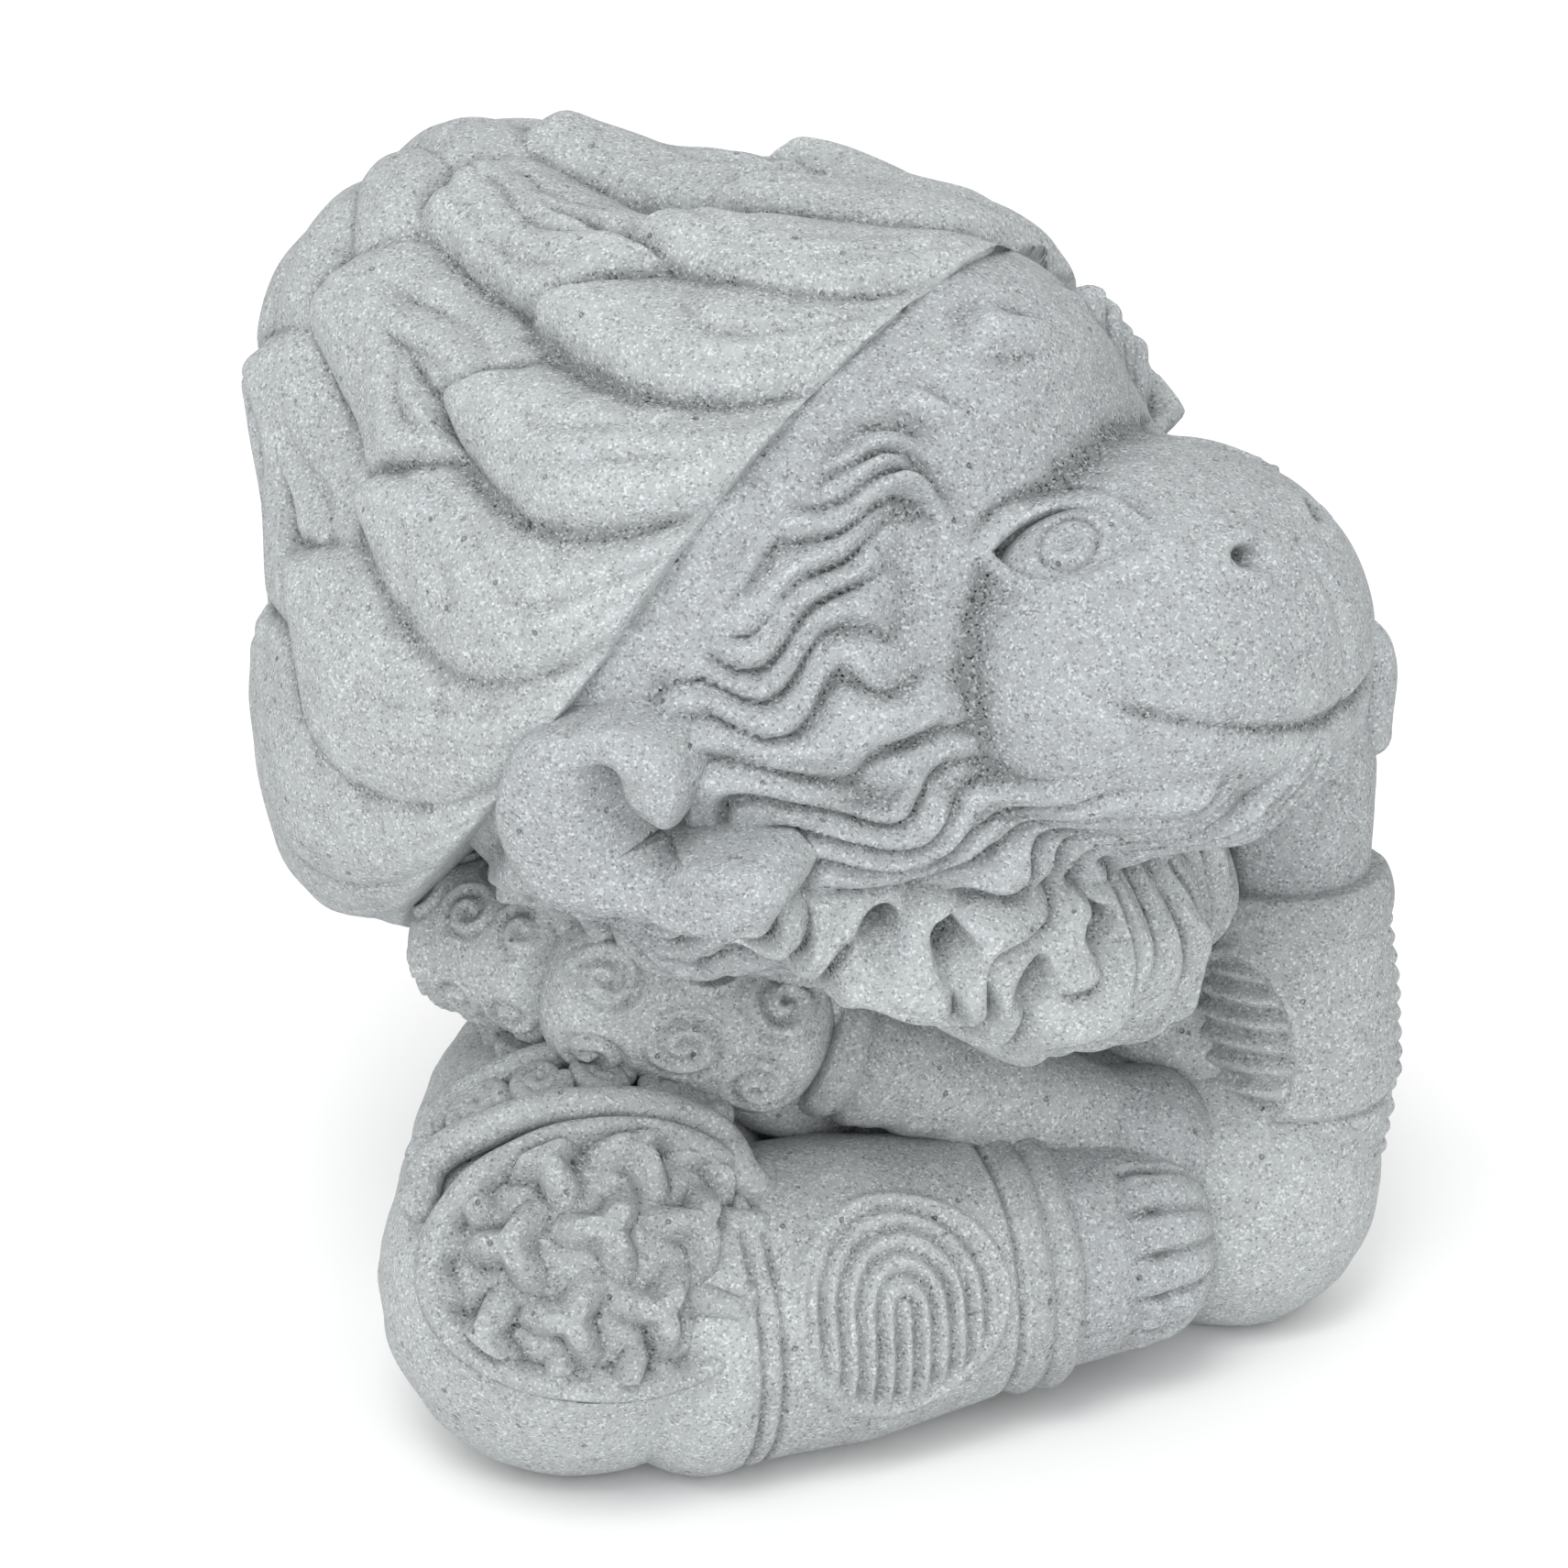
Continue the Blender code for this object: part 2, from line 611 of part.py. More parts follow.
def thigh(side, grow):
    thickness = thigh_thickness(side)
    path = path_through([hip(side), knee(side)], 3)
    return limb(path, [thickness], grow, dome=thickness / 2 + grow, columns=MEDIUM)


def tasset(side, grow):
    """A flap on the thigh: rings run out over a sunk field and a raised rim, then back underneath."""
    thickness = thigh_thickness(side)
    hipward = np.array((hip(side) - knee(side)).normalized())
    look = np.array(looking(side * TASSET_TURN, TASSET_LIFT))
    long_half = (TASSET_HALF_LENGTH + grow) / (thickness / 2)
    tall_half = (TASSET_HALF_HEIGHT + grow) / (thickness / 2)
    rim = 1 - TASSET_RIM / TASSET_HALF_LENGTH
    bevel = TASSET_BEVEL / TASSET_HALF_LENGTH
    full = TASSET_THICKNESS + grow
    field = full if grow else TASSET_THICKNESS - TASSET_FIELD_SINK
    profile = [(rim / 2, field), (rim - bevel, field), (rim, full), (1 - bevel, full),
               (1, full - TASSET_BEVEL)]
    profile += [(1, -grow), (rim / 2, -grow)]
    angle = round_angles(MEDIUM)
    rings = []
    for share, height in profile:
        turn = long_half * share * np.cos(angle)
        lift = tall_half * share * np.sin(angle)
        ways = np.stack([np.sin(turn) * np.cos(lift), -np.cos(turn) * np.cos(lift), np.sin(lift)], 1) @ look.T
        slant = np.sqrt(1 - (ways @ hipward).clip(min=0) ** 2)
        rings.append(ways * (thickness / 2 / slant + CLEARANCE + height)[:, None])
    return place(skin(rings), frame(knee(side)))


def shin_ends(side):
    """Knee end and ankle end of a shin."""
    start = knee(side)
    shift = -RIGHT_SHIN_FORWARD if side < 0 else LEFT_SHIN_BACK
    first = Vector((start.x - side * SHIN_TUCK, start.y + shift, SHIN_THICKNESS / 2 - GROUND_SINK / 2))
    return first, first + Vector((-side * SHIN_LENGTH, -SHIN_TOE_IN, 0))


def shin_ahead(side):
    first, last = shin_ends(side)
    return (last - first).normalized()


def shin(side, grow):
    path = path_through(shin_ends(side), 5)
    return limb(path, [SHIN_THICKNESS, SHIN_THICKNESS, ANKLE_THICKNESS], grow, columns=MEDIUM)


def anklet(side, grow):
    start = shin_ends(side)[1] + shin_ahead(side) * END_GAP
    path = path_through([start, start + shin_ahead(side) * ANKLET_WIDTH], 3)
    swell = [ANKLE_THICKNESS, ANKLE_THICKNESS + 2 * ANKLET_HEIGHT, ANKLE_THICKNESS]
    return limb(path, swell, grow, columns=MEDIUM)


def foot(side, grow):
    """A bare foot on its outer edge, with a row of toes."""
    ahead = shin_ahead(side)
    heel = shin_ends(side)[1] + ahead * (ANKLET_WIDTH + 2 * END_GAP)
    tip = heel + ahead * FOOT_LENGTH
    widths = [FOOT_THICKNESS, FOOT_THICKNESS, FOOT_THICKNESS - TOE_HALF_HEIGHT]
    body = limb(path_through([heel, tip], 3), widths, grow, dome=TOE_HALF_HEIGHT)
    for share in np.linspace(-1, 1, TOE_COUNT):
        spot = tip + Vector((0, 0, share * (FOOT_THICKNESS / 2 - TOE_HALF_HEIGHT))) + ahead * TOE_PAST_TIP
        toe = ellipsoid((TOE_HALF_LENGTH, TOE_HALF_DEPTH, TOE_HALF_HEIGHT), grow, 10)
        body = combine(body, place(toe, frame(spot)), "UNION")
    return body


# Arms

def shoulder(side):
    return Vector((side * (TORSO_HALF_WIDTH - SLEEVE_THICKNESS / 2), -TORSO_FORWARD, SHOULDER_HEIGHT))


def lap_path():
    """The right forearm: from the elbow beside the torso across the lap."""
    elbow = Vector((-TORSO_HALF_WIDTH - ELBOW_OUT, -ELBOW_FORWARD, ELBOW_HEIGHT))
    lap = Vector((0, shin_ends(-1)[1].y + SHIN_THICKNESS / 4,
                  SHIN_THICKNESS + FOREARM_THICKNESS / 2 - LAP_SINK))
    end = prop_ends()[0] - Vector((PROP_THICKNESS / 2, 0, 0))
    return path_through([elbow, lap, end], 80)


def upper_arm_right(grow):
    """The arm is drawn out and back, so that it bulges under the ear."""
    start = shoulder(-1) + Vector((-RIGHT_SHOULDER_OUT, RIGHT_SHOULDER_BACK, 0))
    path = path_through([start, Vector(lap_path()[0])], 4)
    return limb(path, [SLEEVE_THICKNESS], grow, dome=ELBOW_ROUND)


def sleeve_right(grow):
    path = along(lap_path(), 0, SLEEVE_LENGTH, 5)
    return limb(path, [SLEEVE_THICKNESS], grow, dome=SLEEVE_ROUND)


def armband_right_start():
    return SLEEVE_LENGTH + SLEEVE_ROUND + END_GAP


def armband_right(grow):
    start = armband_right_start()
    path = along(lap_path(), start, start + ARMBAND_WIDTH, 3)
    return limb(path, [FOREARM_THICKNESS + 2 * ARMBAND_HEIGHT], grow)


def forearm_right_start():
    return armband_right_start() + ARMBAND_WIDTH + END_GAP


def forearm_right(grow):
    start = forearm_right_start()
    path = along(lap_path(), start, start + FOREARM_LENGTH, 6)
    return limb(path, [FOREARM_THICKNESS, WRIST_THICKNESS], grow)


def prop_ends():
    """The left forearm: elbow on the knee, wrist under the cheek."""
    elbow = knee(1) + Vector((PROP_OUT, -PROP_FORWARD, PROP_RISE))
    cheek = head_frame() @ Vector(on_head(CHEEK_TURN, CHEEK_LIFT, -HAND_THICKNESS / 2))
    return elbow, cheek - Vector((0, 0, HAND_HOLD))


def prop_ahead():
    elbow, wrist = prop_ends()
    return (wrist - elbow).normalized()


def upper_arm_left(grow):
    """From the shoulder down to the elbow on the knee."""
    path = path_through([shoulder(1), prop_ends()[0]], 4)
    return limb(path, [SLEEVE_THICKNESS], grow, dome=ELBOW_ROUND)


def forearm_left(grow):
    elbow, wrist = prop_ends()
    end = wrist - prop_ahead() * (ARMBAND_WIDTH + END_GAP)
    widths = [PROP_ELBOW_THICKNESS, PROP_THICKNESS, PROP_THICKNESS, PROP_WRIST_THICKNESS]
    return limb(path_through([elbow, end], 7), widths, grow)


def wristband_left(grow):
    wrist = prop_ends()[1]
    path = path_through([wrist - prop_ahead() * ARMBAND_WIDTH, wrist], 3)
    return limb(path, [PROP_WRIST_THICKNESS + 2 * ARMBAND_HEIGHT], grow)


def hand_left(grow):
    """A loose fist under the cheek, its fingers side by side."""
    base = prop_ends()[1] + prop_ahead() * END_GAP

    def fingers(share, angle):
        return -FINGER_DEPTH * share * np.abs(np.sin(FINGER_COUNT * angle / 2)) ** 4

    path = path_through([base, base + prop_ahead() * HAND_LENGTH], 5)
    return limb(path, [HAND_THICKNESS], grow, FIST_ROUND, 4 * FINGER_COUNT, fingers)


def hand_right(grow):
    """A fist at the end of the lap arm, against the left elbow."""
    start = forearm_right_start() + FOREARM_LENGTH + END_GAP
    path = along(lap_path(), start, start + WRIST_THICKNESS, 4)
    return limb(path, [WRIST_THICKNESS, HAND_THICKNESS, WRIST_THICKNESS], grow, dome=FIST_ROUND)


FORMS = {
    "eye_right": lambda grow: eye(-1, grow),
    "eye_left": lambda grow: eye(1, grow),
    "head": head,
    "headband": headband,
    "ear_right": lambda grow: ear(-1, grow),
    "ear_left": lambda grow: ear(1, grow),
    "mane": mane,
    "ruff": ruff,
    "hand_left": hand_left,
    "wristband_left": wristband_left,
    "forearm_left": forearm_left,
    "armband_right": armband_right,
    "sleeve_right": sleeve_right,
    "forearm_right": forearm_right,
    "hand_right": hand_right,
    "anklet_right": lambda grow: anklet(-1, grow),
    "foot_right": lambda grow: foot(-1, grow),
    "thigh_right": lambda grow: thigh(-1, grow),
    "thigh_left": lambda grow: thigh(1, grow),
    "tasset_right": lambda grow: tasset(-1, grow),
    "shin_right": lambda grow: shin(-1, grow),
    "shin_left": lambda grow: shin(1, grow),
    "upper_arm_right": upper_arm_right,
    "upper_arm_left": upper_arm_left,
    "torso": torso,
    "belt": belt,
    "seat": seat,
}


# Assembly

def stone(name):
    material = bpy.data.materials.new(name + "_stone")
    material.use_nodes = True
    shader = material.node_tree.nodes["Principled BSDF"]
    shade = STONE_SHADES.get(name.split("_")[0], 1.0)
    shader.inputs["Base Color"].default_value = (*[tone * shade for tone in STONE_COLOUR], 1.0)
    shader.inputs["Roughness"].default_value = STONE_ROUGHNESS
    shader.inputs["Metallic"].default_value = 0.0
    return material


def boxes_meet(first, second):
    spots = [np.array([vertex.co for vertex in item.data.vertices]) for item in (first, second)]
    low = np.maximum(spots[0].min(axis=0), spots[1].min(axis=0))
    high = np.minimum(spots[0].max(axis=0), spots[1].max(axis=0))
    return bool((low < high).all())


def keep_main_body(body):
    """Drop the chips that the cuts left loose."""
    rest = set(body.verts)
    islands = []
    while rest:
        edge_of_island = [rest.pop()]
        island = list(edge_of_island)
        while edge_of_island:
            near = {edge.other_vert(vertex) for vertex in edge_of_island for edge in vertex.link_edges}
            edge_of_island = list(near & rest)
            rest -= near
            island += edge_of_island
        islands.append(island)
    islands.sort(key=len)
    for chip in islands[:-1]:
        bmesh.ops.delete(body, geom=chip, context="VERTS")


def cutter(name, body):
    item = add_object(body, name)
    item.hide_render = True
    item.display_type = "WIRE"
    return item


def build_piece(name, tools):
    """One piece, with the seats of its earlier neighbours cut into it."""
    piece = add_object(FORMS[name](0.0), name)
    piece.data.materials.append(stone(name))
    for tool in tools:
        if boxes_meet(piece, tool):
            result = boolean(piece, tool, "DIFFERENCE")
            keep_main_body(result)
            result.to_mesh(piece.data)
            result.free()
    piece.data.shade_smooth()
    piece.data.set_sharp_from_angle(angle=math.radians(40))
    return piece


def main():
    for item in list(bpy.data.objects):
        bpy.data.objects.remove(item)
    figure = bpy.data.objects.new("figure", None)
    bpy.context.scene.collection.objects.link(figure)
    tools = [cutter("ground", ground())]
    for name, form in FORMS.items():
        build_piece(name, tools).parent = figure
        tools.append(cutter(name + "_seat", form(CLEARANCE)))


main()
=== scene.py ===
"""Dresses the seated sandstone monkey: carved surfaces, stone finishes, floor, light and camera.

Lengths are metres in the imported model's frame: the body faces -Y, its left side is +X and +Z is up.
"""
import logging
import math
from dataclasses import dataclass, field
from enum import Enum, IntEnum
from typing import Callable, Sequence

import bpy
import numpy as np
from mathutils import Matrix, Vector
from numpy.typing import NDArray


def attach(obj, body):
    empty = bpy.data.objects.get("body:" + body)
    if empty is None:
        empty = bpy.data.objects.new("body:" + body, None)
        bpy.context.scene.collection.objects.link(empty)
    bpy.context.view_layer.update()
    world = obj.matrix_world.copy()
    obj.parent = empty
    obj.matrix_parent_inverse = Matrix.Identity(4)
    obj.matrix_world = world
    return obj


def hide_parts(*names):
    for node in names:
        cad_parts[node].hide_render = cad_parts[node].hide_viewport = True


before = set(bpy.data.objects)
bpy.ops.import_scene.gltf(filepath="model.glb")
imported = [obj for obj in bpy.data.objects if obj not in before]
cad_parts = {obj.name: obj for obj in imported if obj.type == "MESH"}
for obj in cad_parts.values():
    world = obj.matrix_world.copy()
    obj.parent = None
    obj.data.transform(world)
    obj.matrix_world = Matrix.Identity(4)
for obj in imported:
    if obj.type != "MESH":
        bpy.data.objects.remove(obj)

Array = NDArray[np.float64]
Angles = float | Array
Pair = tuple[float, float]
Triple = tuple[float, float, float]
Row = tuple[float, ...]
Grid = tuple[int, int]
Scroll = tuple[float, float, float, int]
Relief = Callable[[Array, Array], Array]
MM = 0.001
DEG = math.pi / 180
BODY = "root"
LOG = logging.getLogger("monkey")
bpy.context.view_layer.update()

# Angle that is left open at the poles of a ball, whose end points close it
POLE_GAP = 0.02


class Side(Enum):
    """A side of the figure, as the sign of its x axis."""

    RIGHT = -1
    LEFT = 1


class Slot(Enum):
    """The record's material slots."""

    SKIN = "skin_stone"
    HAIR = "hair_stone"
    CLOTH = "cloth_stone"
    TRIM = "trim_stone"


class Seed(IntEnum):
    """Seeds of the soft ripples; wear counts on from its own for each further skin of a piece."""

    FUR_BEND = 5
    FUR_TWIST = 6
    WEAR = 7
    FUR_HAIR = 8
    FUR_SWELL = 9
    FUR_SHORE = 11
    MANE_STRAND = 21
    MANE_SWELL = 22


# Plain helpers on arrays

def smooth(low: float, high: float, value: Array) -> Array:
    """Soft step: 0 on the side of low, 1 on the side of high and a cubic between them."""
    share = np.clip((value - low) / (high - low), 0.0, 1.0)
    return share * share * (3.0 - 2.0 * share)


def hump(gap: Array, width: float) -> Array:
    """A bell of height 1: exp(-(gap / width) ** 2)."""
    return np.exp(-(gap / width) ** 2)


def plateau(gap: Array, width: float) -> Array:
    """A bell of height 1 with a flat top and steep sides: exp(-(gap / width) ** 4)."""
    return np.exp(-(gap / width) ** 4)


@dataclass(frozen=True)
class Ridge:
    """A bell-shaped ridge or groove: height * exp(-((gap - place) / width) ** 2)."""

    height: float
    width: float
    place: float = 0.0

    def at(self, gap: Array) -> Array:
        """Height at a distance or an angle."""
        return self.height * hump(gap - self.place, self.width)


def wrapped(angle: Array) -> Array:
    """An angle brought into the turn from -pi to pi."""
    return np.mod(angle + math.pi, math.tau) - math.pi


def circle(columns: int) -> Array:
    """A row of evenly spaced angles round one turn."""
    return np.linspace(0, math.tau, columns, endpoint=False)[None, :]


def chances(numbers: Array, pace: float, shift: float = 0.0) -> Array:
    """A fixed random share for each whole number: the far digits of a sine."""
    return np.mod(np.sin(numbers * pace + shift) * 43758.5453, 1.0)


def unit(vectors: Array) -> Array:
    """Vectors scaled to length 1."""
    return vectors / np.maximum(np.linalg.norm(vectors, axis=-1, keepdims=True), 1e-12)


def angle_to(ways: Array, middle: Array) -> Array:
    """Angle between unit directions and a middle direction."""
    return np.arccos((ways @ middle).clip(-1, 1))


def turning(axis: int, angle: float) -> Array:
    """Matrix of a right-handed turn about one axis.

    Args:
        axis: 0, 1 or 2 for x, y or z.
        angle: The turn in radians.

    Returns:
        A matrix that acts on columns.
    """
    first, second = [(1, 2), (2, 0), (0, 1)][axis]
    matrix = np.eye(3)
    matrix[first, first] = matrix[second, second] = math.cos(angle)
    matrix[second, first] = math.sin(angle)
    matrix[first, second] = -math.sin(angle)
    return matrix


def looking(turn: float, lift: float) -> Array:
    """Matrix that turns a front at -Y to the left and then lifts it."""
    return turning(2, turn) @ turning(0, -lift)


def facing(turn: Angles, lift: Angles) -> Array:
    """Unit directions of a front at -Y that is turned to the left and lifted."""
    turn, lift = np.broadcast_arrays(turn, lift)
    return np.stack([np.sin(turn) * np.cos(lift), -np.cos(turn) * np.cos(lift), np.sin(lift)], -1)


def polar_ways(off: Array, around: Array) -> Array:
    """Unit directions at an angle off the z axis and an angle round it."""
    off, around = np.broadcast_arrays(off, around)
    return np.stack([np.sin(off) * np.cos(around), np.sin(off) * np.sin(around), np.cos(off)], -1)


def front_ways(off: Array, around: Array) -> Array:
    """Unit directions at an angle off the front, -Y, and an angle round it, counted from the left side up."""
    return polar_ways(off, around)[..., [0, 2, 1]] * (1, -1, 1)


def ripples(points: Array, length: float, seed: int) -> Array:
    """Soft unevenness from about -1 to 1: the mean of eight sine waves in fixed random directions.

    Args:
        points: Places, with x, y and z last.
        length: Length of the longest wave.
        seed: Seed of the directions and phases.

    Returns:
        One value for each place.
    """
    waves, shortest, gain = 8, 0.45, 1.6
    draw = np.random.default_rng(int(seed))
    ways = unit(draw.normal(size=(waves, 3)))
    lengths = length * draw.uniform(shortest, 1.0, waves)
    phases = draw.uniform(0, math.tau, waves)
    return np.sin(points @ (ways * (math.tau / lengths)[:, None]).T + phases).mean(axis=-1) * gain


def path_through(points: Sequence[Sequence[float]], steps: int) -> Array:
    """Even steps along a smooth curve (Catmull-Rom) through the points.

    Args:
        points: Points of any dimension.
        steps: How many places are read from the curve.

    Returns:
        The places, one a row.
    """
    knots = np.array(points, dtype=float)
    knots = np.vstack([2 * knots[0] - knots[1], knots, 2 * knots[-1] - knots[-2]])
    spots = np.linspace(0, len(knots) - 3, steps)
    first = np.minimum(spots.astype(int), len(knots) - 4)
    part = (spots - first)[:, None]
    a, b, c, d = (knots[first + shift] for shift in range(4))
    return b + 0.5 * part * (c - a + part * (2 * a - 5 * b + 4 * c - d + part * (3 * (b - c) + d - a)))


def along(path: Array, start: float, end: float, steps: int) -> Array:
    """The stretch of a path between two distances from its first point.

    Args:
        path: Places along the path.
        start: Distance at which the stretch starts.
        end: Distance at which it ends.
        steps: How many places are read.

    Returns:
        Evenly spaced places of the stretch.
    """
    run = np.concatenate([[0], np.cumsum(np.linalg.norm(np.diff(path, axis=0), axis=1))])
    reads = np.linspace(start, end, steps)
    return np.stack([np.interp(reads, run, path[:, axis]) for axis in range(3)], 1)


# Closed skins over rings of points

@dataclass
class Shell:
    """A closed skin over rings of points, each ring closed and both ends drawn to a middle point."""

    rings: Array

    def normals(self) -> Array:
        """Unit normals from the differences along and round the rings, turned outwards.

        Returns:
            A normal for each point of the rings.
        """
        down = np.gradient(self.rings, axis=0)
        round_it = np.roll(self.rings, -1, axis=1) - np.roll(self.rings, 1, axis=1)
        return unit(np.cross(down, round_it)) * self.sense()

    def sense(self) -> float:
        """Which way the rings run, from the sign of the volume inside them.

        Returns:
            1 where faces in the rings' order point outwards, else -1.
        """
        rings = self.rings - self.rings.mean(axis=(0, 1))
        here = rings[:-1]
        volume = np.einsum("ijk,ijk->", np.cross(np.roll(here, -1, axis=1), here), rings[1:])
        return 1.0 if volume > 0 else -1.0

    def worn(self, depth: float, length: float, seed: int) -> "Shell":
        """The skin pushed in and out along its normals, by up to a depth, by soft ripples of a length."""
        push = depth * ripples(self.rings, length, seed)
        return Shell(self.rings + self.normals() * push[..., None])

    def grounded(self) -> "Shell":
        """The skin cut flat by the ground, z = 0."""
        return Shell(np.maximum(self.rings, (-np.inf, -np.inf, 0.0)))

    def crests(self, passes: int, full: float) -> Array:
        """How far each point stands out of its blurred surroundings, from 0 in a groove to 1 on a crest.

        Args:
            passes: How often each point takes the mean of its four neighbours.
            full: Height that counts as a whole crest.

        Returns:
            A value for each point, with the end points' first and last.
        """
        soft = self.rings
        for _ in range(passes):
            upper = np.concatenate([soft[:1], soft[:-1]])
            lower = np.concatenate([soft[1:], soft[-1:]])
            soft = (upper + lower + np.roll(soft, 1, axis=1) + np.roll(soft, -1, axis=1)) / 4
        height = ((self.rings - soft) * self.normals()).sum(axis=-1)
        value = np.clip(0.5 + 0.5 * height / full, 0.0, 1.0)
        return np.concatenate([[value[0].mean()], value.ravel(), [value[-1].mean()]])

    def points(self) -> Array:
        """All points: the first end's middle, the rings in order, the last end's middle."""
        ends = self.rings[0].mean(axis=0)[None], self.rings[-1].mean(axis=0)[None]
        return np.concatenate([ends[0], self.rings.reshape(-1, 3), ends[1]])

    def faces(self) -> tuple[Array, Array]:
        """Corner numbers of the end triangles and of the quads between rings, pointing outwards.

        Returns:
            Triangles, three numbers a row, and quads, four numbers a row.
        """
        rows, columns = self.rings.shape[:2]
        number = 1 + np.arange(rows * columns).reshape(rows, columns)
        ahead = np.roll(number, -1, axis=1)
        last = np.full(columns, rows * columns + 1)
        first_fan = np.stack([np.zeros(columns, int), number[0], ahead[0]], 1)
        last_fan = np.stack([last, ahead[-1], number[-1]], 1)
        quads = np.stack([number[:-1], number[1:], ahead[1:], ahead[:-1]], -1).reshape(-1, 4)
        triangles = np.concatenate([first_fan, last_fan])
        if self.sense() < 0:
            return triangles[:, ::-1], quads[:, ::-1]
        return triangles, quads


def tube(path: Array, radii: Array, columns: int, relief: Relief | None = None,
         dome: Pair = (0, 0), upright: Sequence[float] = (0, 0, 1)) -> Shell:
    """A round section carried along a path: path + (radius + relief) * (cos a * side + sin a * rise).

    A domed end goes on past the path in a quarter of an ellipse, and relief fades there with the radius.

    Args:
        path: Places along the middle.
        radii: Radius at each place.
        columns: Points round the section.
        relief: Height over the plain skin from distance along the path and angle round it.
        dome: How far the first and the last end bulge out.
        upright: Direction that the angle of 90 degrees leans to.

    Returns:
        The closed skin.
    """
    dome_rows, dome_close, full_relief = 14, 0.985, 1.3
    ahead = unit(np.gradient(path, axis=0))
    side = unit(np.cross(ahead, np.array(upright, dtype=float)))
    rise = np.cross(side, ahead)
    run = np.concatenate([[0], np.cumsum(np.linalg.norm(np.diff(path, axis=0), axis=1))])
    angle = np.linspace(0, math.pi / 2, dome_rows + 1)[1:] * dome_close
    for end, length in ((0, dome[0]), (-1, dome[1])):
        if length == 0:
            continue
        out = ahead[end] if end else -ahead[end]
        past = path[end] + out * length * np.sin(angle)[:, None]
        extra = (past, radii[end] * np.cos(angle), np.repeat(side[end][None], dome_rows, 0),
                 np.repeat(rise[end][None], dome_rows, 0),
                 run[end] + (1 if end else -1) * length * np.sin(angle))
        kept = (path, radii, side, rise, run)
        if end:
            path, radii, side, rise, run = (np.concatenate([a, b]) for a, b in zip(kept, extra))
        else:
            path, radii, side, rise, run = (np.concatenate([b[::-1], a]) for a, b in zip(kept, extra))
    turn = circle(columns)
    reach = np.repeat(radii[:, None], columns, 1)
    if relief is not None:
        fade = np.minimum(1.0, radii / radii.max() * full_relief)
        reach = reach + relief(run[:, None], turn) * fade[:, None]
    ring = np.cos(turn)[..., None] * side[:, None] + np.sin(turn)[..., None] * rise[:, None]
    return Shell(path[:, None] + reach[..., None] * ring)


def ball(middle: Sequence[float], radii: Sequence[float], rows: int, columns: int) -> Shell:
    """An ellipsoid in rings from its top down: middle + radii * direction."""
    off = np.linspace(POLE_GAP, math.pi - POLE_GAP, rows)[:, None]
    return Shell(polar_ways(off, circle(columns)) * np.array(radii) + np.array(middle))


def pillow_rows(top: int, wall: int, under: int, first: float, step: float) -> tuple[Array, Array]:
    """Rings of a pillow, which run out over its top, down its wall and back in under it.

    Args:
        top: How many rings lie on the top.
        wall: How many rings go down the wall.
        under: How many rings lie under it.
        first: Share of the outline at the first ring.
        step: Share of the wall at its first ring.

    Returns:
        For each ring its share of the outline and its share of the way down.
    """
    share = np.concatenate([np.linspace(first, 1, top), np.ones(wall), np.linspace(0.94, 0.05, under)])
    drop = np.concatenate([np.zeros(top), np.linspace(step, 1, wall), np.ones(under)])
    return share[:, None], drop[:, None]


# Finishes

@dataclass
class Nodes:
    """Short calls that add and link the nodes of one tree."""

    tree: bpy.types.NodeTree

    def add(self, kind: str, links: dict[str | int, object] | None = None,
            **settings: object) -> bpy.types.Node:
        """A new node.

        Args:
            kind: The node's type.
            links: Value or socket for each input, by name or number.
            settings: Properties of the node.

        Returns:
            The node.
        """
        node = self.tree.nodes.new(kind)
        for label, value in settings.items():
            setattr(node, label, value)
        for label, value in (links or {}).items():
            socket = node.inputs[label]
            if isinstance(value, bpy.types.NodeSocket):
                self.tree.links.new(value, socket)
            else:
                socket.default_value = value
        return node

    def math(self, operation: str, *values: object) -> bpy.types.NodeSocket:
        """Output of a math node on values or sockets."""
        return self.add("ShaderNodeMath", dict(enumerate(values)), operation=operation).outputs[0]

    def total(self, start: object, *parts: tuple[object, float]) -> bpy.types.NodeSocket:
        """A value plus other values, each times its weight.

        Args:
            start: The first value or socket.
            parts: The other sockets with their weights.

        Returns:
            Socket of the sum.
        """
        for value, weight in parts:
            start = self.math("ADD", start, self.math("MULTIPLY", value, weight))
        return start

    def spread(self, value: object, span: Sequence[float], to: Sequence[float]) -> bpy.types.NodeSocket:
        """A value mapped from one span to another, held at its ends."""
        links = {"Value": value, "From Min": span[0], "From Max": span[1], "To Min": to[0], "To Max": to[1]}
        return self.add("ShaderNodeMapRange", links, clamp=True).outputs["Result"]

    def noise(self, place: object, scale: float, detail: float, roughness: float) -> bpy.types.NodeSocket:
        """Value of a noise pattern."""
        links = {"Vector": place, "Scale": scale, "Detail": detail, "Roughness": roughness}
        return self.add("ShaderNodeTexNoise", links).outputs["Fac"]

    def cells(self, place: object, scale: float) -> bpy.types.Node:
        """Node of a pattern of random cells."""
        return self.add("ShaderNodeTexVoronoi", {"Vector": place, "Scale": scale, "Randomness": 1.0})


